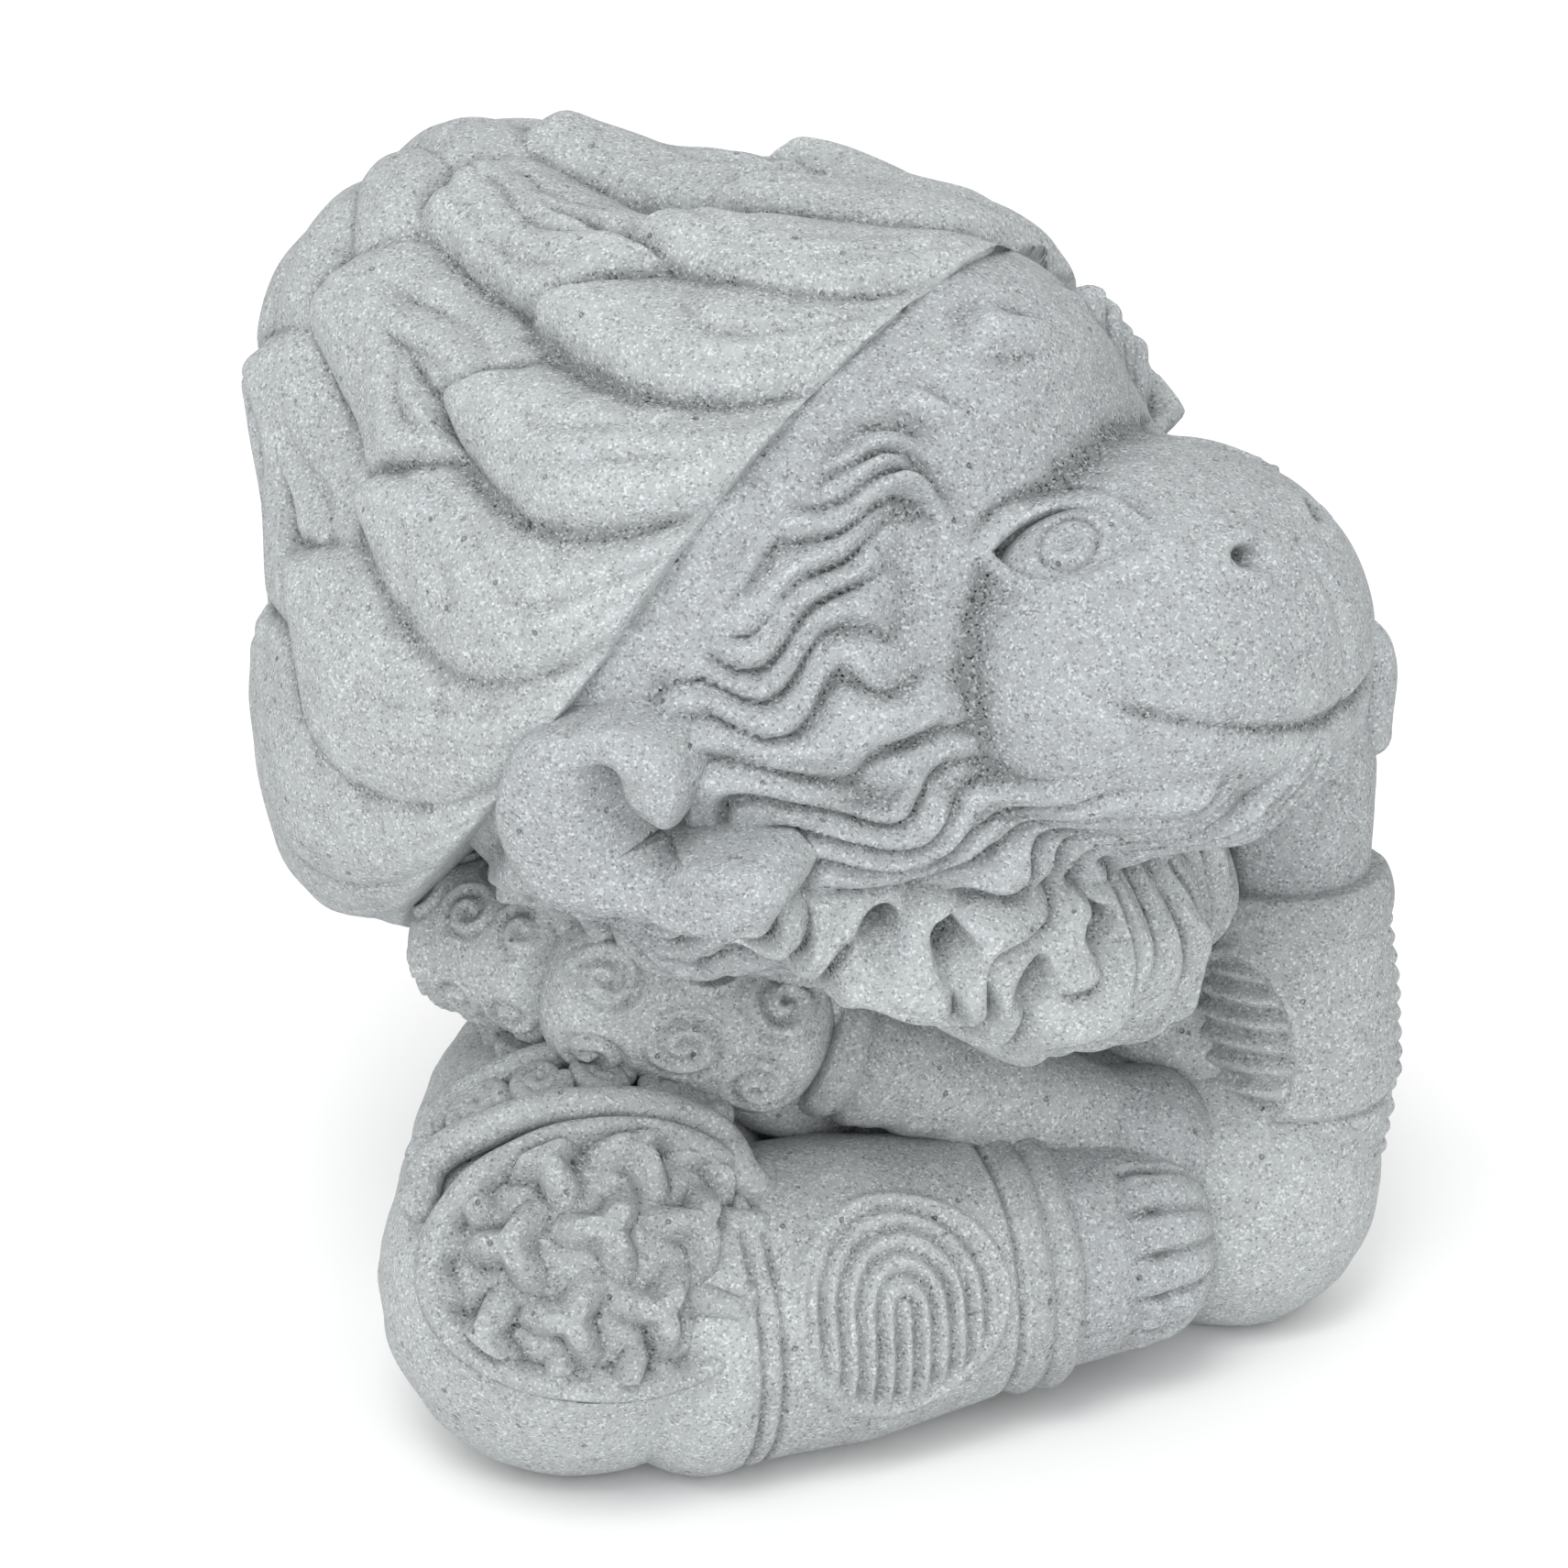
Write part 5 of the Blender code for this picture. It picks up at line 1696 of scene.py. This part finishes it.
@dataclass
class Flap(Part):
    """A shield on the right thigh: three-pointed scales inside a raised rim, with cords and curls above it.

    Routes of cords and places of curls are millimetres along the thigh and up it.
    """

    turn: float = -14 * DEG
    lift: float = 41 * DEG
    half_length: float = 10.7 * MM
    half_height: float = 7.3 * MM
    ahead: float = 0.5 * MM
    sag: float = 1.2 * MM
    floor: float = 0.4 * MM
    root: float = 0.5 * MM
    columns: int = 300
    field_edge: Pair = (0.85, 0.80)
    rim_share: float = 0.91
    rim_half: float = 0.092
    rim_height: float = 1.3 * MM
    groove: Ridge = Ridge(0.3 * MM, 0.011, 0.955)
    scale_height: float = 1.55 * MM
    scale_pitch: float = 4.6 * MM
    scale_row: float = 3.9 * MM
    scale_size: float = 2.75 * MM
    scale_lean: float = 50 * DEG
    scale_waist: float = 0.42
    scale_power: float = 2.5
    scale_steep: float = 1.8
    scale_ridge: float = 0.15
    cord_height: float = 1.1 * MM
    cord_grid: Grid = (120, 40)
    lower_cord: tuple[Pair, ...] = (
        (-9.6, 3.2), (-8.6, 5.6), (-2.0, 7.0), (4.0, 6.5), (8.2, 4.9), (8.4, 2.9), (9.6, 2.0), (10.6, 2.9))
    lower_radius: float = 1.0 * MM
    upper_cord: tuple[Pair, ...] = (
        (-10.2, 6.0), (-9.4, 9.6), (-4.8, 11.4), (0.0, 12.0), (5.0, 11.2), (8.8, 9.0), (9.6, 6.6), (8.6, 5.8))
    upper_radius: float = 0.9 * MM
    curls: tuple[tuple[float, float, int], ...] = (
        (-7.0, 8.2, 1), (-2.4, 9.4, -1), (2.4, 9.2, 1), (6.6, 7.4, -1))
    curl_turns: float = 1.8
    curl_reach: Pair = (1.9, 0.35)
    curl_radius: float = 0.6 * MM

    def on_thigh(self, x: Array, z: Array, height: Array) -> Array:
        """Places over the thigh's round end and the bar behind it.

        Args:
            x: Distance along the thigh.
            z: Distance up it.
            height: Height over its skin.

        Returns:
            The places.
        """
        radius = BONES.thigh_thickness(Side.RIGHT) / 2
        knee = BONES.knee(Side.RIGHT)
        ways = facing(x / radius, z / radius) @ looking(self.turn, self.lift).T
        slant = np.sqrt(1 - (ways @ unit(BONES.hip(Side.RIGHT) - knee)).clip(min=0) ** 2)
        return ways * (radius / slant + height)[..., None] + knee

    def scales(self, x: Array, z: Array) -> Array:
        """Three-armed scales on a triangle lattice, each a low pyramid; the highest counts.

        Args:
            x: Distance along it.
            z: Distance up it.

        Returns:
            Heights from 0 to 1.
        """
        best = np.zeros(np.broadcast(x, z).shape)
        row = np.round(z / self.scale_row)
        for row_shift in (-1, 0, 1):
            line = row + row_shift
            offset = 0.5 * np.mod(line, 2)
            column = np.round(x / self.scale_pitch - offset)
            for column_shift in (-1, 0, 1):
                dx = x - (column + column_shift + offset) * self.scale_pitch
                dz = z - line * self.scale_row
                arms = np.abs(np.cos(1.5 * (np.arctan2(dz, dx) - self.scale_lean))) ** self.scale_power
                reach = self.scale_size * (self.scale_waist + (1 - self.scale_waist) * arms)
                inset = 1 - np.hypot(dx, dz) / reach
                slope = np.clip(self.scale_steep * inset, 0, 1)
                face = (1 - self.scale_ridge) * slope + self.scale_ridge * np.clip(inset, 0, 1)
                best = np.maximum(best, face)
        return best

    def shield(self) -> Shell:
        """A pillow over an ellipse with scales in its field and a grooved round rim.

        Returns:
            The skin.
        """
        share, drop = pillow_rows(150, 8, 10, 0.005, 0.1)
        around = circle(self.columns)
        x = self.half_length * share * np.cos(around) + self.ahead
        z = self.half_height * share * np.sin(around) - self.sag
        inner = smooth(*self.field_edge, share)
        rim = self.rim_height * np.sqrt(np.clip(1 - ((share - self.rim_share) / self.rim_half) ** 2, 0, 1))
        rim = (rim - self.groove.at(share)) * (1 - inner)
        height = self.floor + rim + inner * self.scale_height * self.scales(x, z)
        return Shell(self.on_thigh(x, z, height * (1 - drop) - self.root * drop))

    def cord(self, points: Sequence[Sequence[float]], radius: float) -> Shell:
        """A round cord laid over the thigh.

        Args:
            points: Its route in millimetres along the thigh and up it.
            radius: Its radius.

        Returns:
            The skin.
        """
        steps, columns = self.cord_grid
        x, z = path_through(np.array(points) * MM, steps).T
        path = self.on_thigh(x, z, np.full(steps, self.cord_height))
        return tube(path, np.full(steps, radius), columns, dome=(radius, radius))

    def curl(self, x: float, z: float, sense: int) -> Array:
        """Route of a rolled curl: a spiral that winds inwards.

        Args:
            x: Its middle along the thigh.
            z: Its middle up the thigh.
            sense: Which way it winds.

        Returns:
            Points in millimetres.
        """
        knots = 18
        spin = np.linspace(0, self.curl_turns * math.tau, knots)
        reach = np.linspace(*self.curl_reach, knots)
        return np.stack([x + reach * np.cos(spin), z + reach * np.sin(sense * spin)], 1)

    def pieces(self) -> list[Piece]:
        """The shield with its cords and curls as one piece.

        Returns:
            The piece.
        """
        cords = [self.cord(self.lower_cord, self.lower_radius), self.cord(self.upper_cord, self.upper_radius)]
        curls = [self.cord(self.curl(*place), self.curl_radius) for place in self.curls]
        return [("tasset_right", Slot.TRIM, [self.shield(), *cords, *curls])]


@dataclass
class Foot(Part):
    """The right foot with the double ring round its ankle. Spans are distances past the shin's end."""

    ring_span: Pair = (-0.3 * MM, 2.9 * MM)
    ring_grid: Grid = (60, 220)
    span: Pair = (2.4 * MM, 8.2 * MM)
    grid: Grid = (90, 260)
    dome: Pair = (0.4 * MM, 4.2 * MM)
    places: Row = (0.0, 0.35, 0.8, 1.0)
    radii: Row = (6.4 * MM, 6.2 * MM, 5.9 * MM, 5.6 * MM)
    toe_turn: float = 6 * DEG
    toe_step: float = 24 * DEG
    toe_edge: Pair = (2.9, 2.4)
    toe_start: Pair = (3.4 * MM, 5.2 * MM)
    toe_height: float = 0.3 * MM
    groove: Ridge = Ridge(0.65 * MM, 0.13, 0.5)
    crease: Ridge = Ridge(0.3 * MM, 0.5 * MM, 4.0 * MM)

    @staticmethod
    def path(span: Pair, steps: int) -> Array:
        """A stretch of the shin's line past its end.

        Args:
            span: Where the stretch starts and ends.
            steps: How many places are read.

        Returns:
            The places.
        """
        first, last = BONES.shin(Side.RIGHT)
        ahead = unit(last - first)
        return path_through([last + ahead * span[0], last + ahead * span[1]], steps)

    def rings(self, run: Array, turn: Array) -> Array:
        """Height of the double ring."""
        return twin_ridges(run, turn, self.ring_span[1] - self.ring_span[0])

    def anklet(self) -> Shell:
        """Two thin rings side by side round the ankle."""
        radii = np.full(self.ring_grid[0], BONES.ankle_thickness / 2)
        return tube(self.path(self.ring_span, self.ring_grid[0]), radii, self.ring_grid[1], self.rings)

    def toes(self, run: Array, turn: Array) -> Array:
        """Five toes on the side that shows: bells for the grooves between them and the crease behind.

        Args:
            run: Distance along the foot.
            turn: Angle round it.

        Returns:
            Height over the plain foot.
        """
        place = (wrapped(turn) - self.toe_turn) / self.toe_step
        shown = smooth(*self.toe_edge, np.abs(place))
        toes = smooth(*self.toe_start, run) * (self.toe_height - self.groove.at(np.mod(place, 1.0)))
        return shown * (toes - self.crease.at(run))

    def foot(self) -> Shell:
        """A bare foot: a rounded block whose end is parted into toes."""
        radii = np.interp(np.linspace(0, 1, self.grid[0]), self.places, self.radii)
        return tube(self.path(self.span, self.grid[0]), radii, self.grid[1], self.toes, dome=self.dome)

    def pieces(self) -> list[Piece]:
        """Ring and foot."""
        return [
            ("anklet_right", Slot.TRIM, [self.anklet()]),
            ("foot_right", Slot.SKIN, [self.foot()]),
        ]


@dataclass
class RightArm(Part):
    """The arm that lies across the lap: scroll-carved sleeve, double ring, forearm and fist.

    Curls and scrolls lie at millimetres along the arm and across it; scrolls have a radius and a sense.
    """

    shoulder_out: Triple = (-8.0 * MM, 3.0 * MM, 0.0)
    upper_share: float = 0.7
    upper_inset: float = 0.5 * MM
    upper_grid: Grid = (50, 160)
    upper_dome: Pair = (2.4 * MM, 1.8 * MM)
    curl_rows: Row = (-1.2, 2.4, 6.0)
    curl_columns: Row = (-10.0, -6.4, -2.8, 0.8, 4.4, 8.0, 11.6)
    curl_radius: float = 1.8 * MM
    curl_pitch: float = 1.2 * MM
    curl_depth: float = 0.18 * MM
    sleeve_length: float = 9.5 * MM
    sleeve_round: float = 3.2 * MM
    sleeve_grid: Grid = (110, 240)
    scroll_places: tuple[Scroll, ...] = (
        (-0.8, -0.8, 2.5, 1), (0.2, 4.6, 2.5, -1), (4.1, 2.1, 2.6, 1), (4.4, -3.4, 2.5, -1),
        (8.9, 0.4, 2.4, -1), (9.0, -4.8, 2.4, 1), (5.2, 7.4, 2.6, -1), (9.4, 5.4, 2.4, 1),
        (0.0, -6.0, 2.4, -1), (4.4, -8.6, 2.5, 1))
    scroll_turn: float = 35 * DEG
    scroll_pitch: float = 1.25 * MM
    scroll_depth: float = 0.2 * MM
    band_width: float = 2.2 * MM
    band_lap: Pair = (0.5 * MM, 0.9 * MM)
    band_grid: Grid = (60, 160)
    forearm_gap: float = 0.4 * MM
    forearm_length: float = 13.0 * MM
    forearm_lap: float = 0.6 * MM
    forearm_grid: Grid = (110, 160)
    fold_pitch: float = 2.6 * MM
    fold_slant: float = 1.2
    fold_depth: float = 0.14 * MM
    fold_reach: float = 7.0 * MM
    wrist_thickness: float = 6.6 * MM
    fist_gap: float = 1.0 * MM
    fist_radii: Triple = (3.3 * MM, 4.4 * MM, 3.5 * MM)
    fist_dome: Pair = (0.4 * MM, 3.0 * MM)
    fist_grid: Grid = (60, 140)

    def ring_start(self) -> float:
        """Distance along the arm at which the ring starts."""
        return self.sleeve_length + self.sleeve_round

    def curls(self, run: Array, turn: Array) -> Array:
        """Rows of small curls all round the upper arm.

        Args:
            run: Distance along the arm.
            turn: Angle round it.

        Returns:
            Height over the plain arm.
        """
        radius = BONES.sleeve_thickness / 2 - self.upper_inset
        middles = [(row * MM, column * MM, self.curl_radius, 1)
                   for row in self.curl_rows for column in self.curl_columns]
        return self.curl_depth * scrolls(run, radius * (turn - math.pi), middles, self.curl_pitch)

    def upper_arm(self) -> Shell:
        """A bar with rows of curls, drawn out and back from the elbow so that it bulges under the ear.

        Returns:
            The skin.
        """
        steps, columns = self.upper_grid
        radius = BONES.sleeve_thickness / 2 - self.upper_inset
        start = BONES.shoulder(Side.RIGHT) + np.array(self.shoulder_out)
        path = path_through([start, start + self.upper_share * (BONES.lap()[0] - start)], steps)
        return tube(path, np.full(steps, radius), columns, self.curls, dome=self.upper_dome)

    def scrollwork(self, run: Array, turn: Array) -> Array:
        """Scrolls in staggered rows over the side of the sleeve that shows."""
        arc = BONES.sleeve_thickness / 2 * wrapped(turn - self.scroll_turn)
        return self.scroll_depth * scrolls(run / MM, arc / MM, self.scroll_places, self.scroll_pitch / MM)

    def sleeve(self) -> Shell:
        """A rounded sleeve with carved scrolls.

        Returns:
            The skin.
        """
        steps, columns = self.sleeve_grid
        path = along(BONES.lap(), 0, self.sleeve_length, steps)
        radii = np.full(steps, BONES.sleeve_thickness / 2)
        return tube(path, radii, columns, self.scrollwork, dome=(self.sleeve_round, self.sleeve_round))

    def ridges(self, run: Array, turn: Array) -> Array:
        """Height of the double ring."""
        return twin_ridges(run, turn, self.band_width + sum(self.band_lap))

    def ring(self) -> Shell:
        """Two thin rings side by side.

        Returns:
            The skin.
        """
        steps, columns = self.band_grid
        start = self.ring_start() - self.band_lap[0]
        path = along(BONES.lap(), start, self.ring_start() + self.band_width + self.band_lap[1], steps)
        return tube(path, np.full(steps, BONES.forearm_thickness / 2), columns, self.ridges)

    def folds(self, run: Array, turn: Array) -> Array:
        """Shallow slanting folds, cosines that fade towards the wrist."""
        wave = np.cos(math.tau * run / self.fold_pitch + self.fold_slant * np.sin(turn))
        return self.fold_depth * wave * smooth(self.fold_reach, 0, run)

    def forearm(self) -> Shell:
        """A smooth bar that narrows to the wrist, with a few soft folds by the ring.

        Returns:
            The skin.
        """
        steps, columns = self.forearm_grid
        start = self.ring_start() + self.band_width + self.forearm_gap
        path = along(BONES.lap(), start, start + self.forearm_length + self.forearm_lap, steps)
        radii = np.linspace(BONES.forearm_thickness, self.wrist_thickness, steps) / 2
        return tube(path, radii, columns, self.folds)

    def fist(self) -> Shell:
        """A loose fist: a round swelling past the wrist.

        Returns:
            The skin.
        """
        steps, columns = self.fist_grid
        start = self.ring_start() + self.band_width + self.forearm_length + self.fist_gap
        path = along(BONES.lap(), start - self.forearm_lap, start + self.wrist_thickness, steps)
        radii = np.interp(np.linspace(0, 1, steps), [0, 0.5, 1], self.fist_radii)
        return tube(path, radii, columns, dome=self.fist_dome)

    def pieces(self) -> list[Piece]:
        """The arm's pieces, from the shoulder on."""
        return [
            ("upper_arm_right", Slot.CLOTH, [self.upper_arm()]),
            ("sleeve_right", Slot.CLOTH, [self.sleeve()]),
            ("armband_right", Slot.TRIM, [self.ring()]),
            ("forearm_right", Slot.CLOTH, [self.forearm()]),
            ("hand_right", Slot.SKIN, [self.fist()]),
        ]


@dataclass
class LeftArm(Part):
    """The arm that stands on its knee and holds the cheek: bracer, wrist ring and loose hand."""

    upright: Triple = (0.0, 1.0, 0.0)
    upper_grid: Grid = (70, 100)
    upper_dome: Pair = (1.8 * MM, 1.8 * MM)
    bracer_grid: Grid = (150, 220)
    bracer_dome: Pair = (1.5 * MM, 0.0)
    bracer_lap: float = 0.2 * MM
    elbow_thickness: float = 9.0 * MM
    oval_turn: float = 338 * DEG
    oval_place: float = 0.55
    oval_half: Pair = (5.2 * MM, 3.6 * MM)
    oval_edge: Pair = (0.98, 0.85)
    stripe_pitch: float = 1.3 * MM
    stripe_height: float = 0.26 * MM
    oval_frame: Ridge = Ridge(0.34 * MM, 0.07, 1.05)
    scallop_turn: float = 215 * DEG
    scallop_pitch: float = 1.1 * MM
    scallop: Ridge = Ridge(0.3 * MM, 0.7 * MM)
    hem: Ridge = Ridge(0.35 * MM, 0.3 * MM, 3.2 * MM)
    band_width: float = 2.2 * MM
    band_lap: Pair = (0.3 * MM, 0.4 * MM)
    band_bulge: float = 0.45 * MM
    band_grid: Grid = (50, 180)
    wrist_thickness: float = 10.2 * MM
    palm_length: float = 9.0 * MM
    palm_places: Row = (0.0, 0.3, 0.7, 1.0)
    palm_radii: Row = (4.3 * MM, 4.5 * MM, 4.8 * MM, 4.3 * MM)
    palm_grid: Grid = (80, 160)
    palm_dome: Pair = (0.4 * MM, 3.4 * MM)
    cheek_way: Triple = (0.35, -1.0, 0.0)
    finger_count: int = 4
    finger_pitch: float = 2.25 * MM
    finger_radius: float = 1.42 * MM
    finger_dome: float = 1.2 * MM
    finger_grid: Grid = (60, 60)
    finger_start: Pair = (7.5 * MM, 2.6 * MM)
    finger_bend: Pair = (13.2 * MM, 2.9 * MM)
    finger_end: Pair = (13.0 * MM, -2.2 * MM)
    finger_close: Triple = (1.0, 0.96, 0.9)
    longest_finger: float = 1.3
    finger_step: float = 0.5 * MM

    def ahead(self) -> Array:
        """Unit direction from elbow to wrist."""
        elbow, wrist = BONES.prop()
        return unit(wrist - elbow)

    def upper_arm(self) -> Shell:
        """A plain bar from the shoulder down to the elbow.

        Returns:
            The skin.
        """
        steps, columns = self.upper_grid
        path = path_through([BONES.shoulder(Side.LEFT), BONES.prop()[0]], steps)
        return tube(path, np.full(steps, BONES.sleeve_thickness / 2), columns, dome=self.upper_dome)

    def bracer_line(self) -> tuple[Array, Array]:
        """Elbow and wrist end of the bracer."""
        elbow, wrist = BONES.prop()
        return elbow, wrist - self.ahead() * (self.band_width - self.bracer_lap)

    def carving(self, run: Array, turn: Array) -> Array:
        """A framed oval of stripes on the side towards the chest, scallops opposite to it and a hem line.

        Args:
            run: Distance along the bracer.
            turn: Angle round it.

        Returns:
            Height over the plain bracer.
        """
        radius = BONES.prop_thickness / 2
        elbow, end = self.bracer_line()
        aside = run - float(np.linalg.norm(end - elbow)) * self.oval_place
        gap = np.hypot(aside / self.oval_half[0], radius * wrapped(turn - self.oval_turn) / self.oval_half[1])
        oval = self.stripe_height * np.cos(math.tau * run / self.stripe_pitch) * smooth(*self.oval_edge, gap)
        edge = self.scallop.at(radius * wrapped(turn - self.scallop_turn))
        scallops = edge * np.abs(np.cos(math.pi * run / self.scallop_pitch))
        return oval + self.oval_frame.at(gap) + scallops - self.hem.at(run)

    def forearm(self) -> Shell:
        """A carved bracer, widest in its middle, that narrows to elbow and wrist.

        Returns:
            The skin.
        """
        steps, columns = self.bracer_grid
        path = path_through(self.bracer_line(), steps)
        middle = BONES.prop_thickness
        sizes = np.array((self.elbow_thickness, middle, middle, self.wrist_thickness))
        radii = np.interp(np.linspace(0, 1, steps), [0, 1 / 3, 2 / 3, 1], sizes / 2)
        return tube(path, radii, columns, self.carving, dome=self.bracer_dome, upright=self.upright)

    def ring(self) -> Shell:
        """A smooth ring at the wrist that bulges as a root of a sine.

        Returns:
            The skin.
        """
        steps, columns = self.band_grid
        wrist, ahead = BONES.prop()[1], self.ahead()
        start = wrist - ahead * (self.band_width + self.band_lap[0])
        path = path_through([start, wrist + ahead * self.band_lap[1]], steps)
        bulge = self.band_bulge * np.sin(np.linspace(0, math.pi, steps)) ** 0.5
        return tube(path, self.wrist_thickness / 2 + bulge, columns, upright=self.upright)

    def fingers(self) -> list[Shell]:
        """Four fingers laid against the face, each a tube through its start, its bend and its end.

        Returns:
            The closed skins.
        """
        base, ahead = BONES.prop()[1], self.ahead()
        out = unit(np.cross(ahead, np.array(self.cheek_way)))
        front = np.cross(out, ahead)
        steps, columns = self.finger_grid
        shells = []
        for number in range(self.finger_count):
            across = (number - (self.finger_count - 1) / 2) * self.finger_pitch
            shorter = self.finger_step * abs(number - self.longest_finger)
            bend = (self.finger_bend[0] - shorter, self.finger_bend[1])
            places = (self.finger_start, bend, self.finger_end)
            route = [base + ahead * reach + out * across * close + front * lift
                     for (reach, lift), close in zip(places, self.finger_close)]
            shells.append(tube(path_through(route, steps), np.full(steps, self.finger_radius), columns,
                               dome=(self.finger_dome, self.finger_dome), upright=tuple(out)))
        return shells

    def hand(self) -> list[Shell]:
        """A loose hand under the cheek: a rounded palm and its fingers.

        Returns:
            The closed skins.
        """
        steps, columns = self.palm_grid
        base = BONES.prop()[1]
        path = path_through([base, base + self.ahead() * self.palm_length], steps)
        radii = np.interp(np.linspace(0, 1, steps), self.palm_places, self.palm_radii)
        palm = tube(path, radii, columns, dome=self.palm_dome, upright=self.upright)
        return [palm, *self.fingers()]

    def pieces(self) -> list[Piece]:
        """The arm's pieces, from the shoulder on."""
        return [
            ("upper_arm_left", Slot.CLOTH, [self.upper_arm()]),
            ("forearm_left", Slot.CLOTH, [self.forearm()]),
            ("wristband_left", Slot.TRIM, [self.ring()]),
            ("hand_left", Slot.SKIN, self.hand()),
        ]


# Stage

@dataclass(frozen=True)
class Lamp:
    """A square soft light: its name, place, side and power in watts."""

    name: str
    place: Triple
    size: float
    power: float

    def hang(self, target: Sequence[float]) -> None:
        """Hangs the light so that it looks at a target.

        Args:
            target: The point that it looks at.
        """
        data = bpy.data.lights.new(self.name, "AREA")
        data.size = self.size
        data.energy = self.power
        item = bpy.data.objects.new(self.name, data)
        item.location = self.place
        item.rotation_euler = (Vector(target) - Vector(self.place)).to_track_quat("-Z", "Y").to_euler()
        bpy.context.scene.collection.objects.link(item)


@dataclass
class Studio:
    """Pale floor, soft light and a camera that stands where the photograph was taken."""

    azimuth: float = -27 * DEG
    elevation: float = 25 * DEG
    distance: float = 380 * MM
    pixels_per_mm: float = 20.0
    frame_pixels: float = 1711.0
    ground_pixel: Pair = (922.0, 1435.0)
    ground_point: Triple = (0.0, -7.0 * MM, 0.0)
    sensor: float = 36.0
    near: float = 10 * MM
    floor_half: float = 3.0
    floor_tone: float = 0.93
    floor_roughness: float = 0.9
    surround: float = 1.0
    lit_point: Triple = (0.0, 0.0, 30 * MM)
    lamps: tuple[Lamp, ...] = (
        Lamp("key", (-0.3, -0.3, 0.75), 0.35, 2.6),
        Lamp("fill", (-0.4, -0.75, 0.06), 0.5, 3.2))

    def camera(self) -> None:
        """A camera that puts the ground point at its pixel, at the photograph's scale."""
        back = facing(self.azimuth, self.elevation)
        right = np.array((math.cos(self.azimuth), math.sin(self.azimuth), 0.0))
        up = np.cross(back, right)
        shift = (self.frame_pixels / 2 - np.array(self.ground_pixel)) / self.pixels_per_mm * MM
        aim = np.array(self.ground_point) + right * shift[0] - up * shift[1]
        data = bpy.data.cameras.new("photo_camera")
        data.sensor_width = self.sensor
        data.lens = self.sensor * self.pixels_per_mm * self.distance / MM / self.frame_pixels
        data.clip_start = self.near
        item = bpy.data.objects.new("photo_camera", data)
        item.matrix_world = Matrix.Translation(Vector(aim + back * self.distance)) @ Matrix(
            np.stack([right, up, back], 1).tolist()).to_4x4()
        bpy.context.scene.collection.objects.link(item)
        bpy.context.scene.camera = item

    def floor(self) -> None:
        """A wide pale floor."""
        mesh = bpy.data.meshes.new("floor")
        half = self.floor_half
        corners = [(-half, -half, 0), (half, -half, 0), (half, half, 0), (-half, half, 0)]
        mesh.from_pydata(corners, [], [(0, 1, 2, 3)])
        material = bpy.data.materials.new("pale_floor")
        material.use_nodes = True
        shader = material.node_tree.nodes["Principled BSDF"]
        shader.inputs["Base Color"].default_value = (*(self.floor_tone,) * 3, 1)
        shader.inputs["Roughness"].default_value = self.floor_roughness
        mesh.materials.append(material)
        item = bpy.data.objects.new("floor", mesh)
        bpy.context.scene.collection.objects.link(item)

    def world(self) -> None:
        """An even white surround."""
        world = bpy.data.worlds.new("white_surround")
        world.use_nodes = True
        background = world.node_tree.nodes["Background"]
        background.inputs["Color"].default_value = (1, 1, 1, 1)
        background.inputs["Strength"].default_value = self.surround
        bpy.context.scene.world = world

    def build(self) -> None:
        """Sets the whole stage, with a view transform that keeps white as white."""
        self.camera()
        self.floor()
        self.world()
        for lamp in self.lamps:
            lamp.hang(self.lit_point)
        bpy.context.scene.view_settings.view_transform = "Standard"


def main() -> None:
    """Builds the sub-assemblies in order, reports each piece and sets the stage."""
    logging.basicConfig(level=logging.INFO, format="%(name)s %(message)s")
    shop = Workshop()
    parts: list[Part] = [Head()]
    for side in Side:
        parts += [Eye(side), Ear(side), Leg(side)]
    parts += [Body(), Flap(), Foot(), RightArm(), LeftArm()]
    for part in parts:
        for piece in part.build(shop):
            LOG.info("%s: %d faces", piece.name, len(piece.data.polygons))
    Studio().build()


if __name__ == "__main__":
    main()
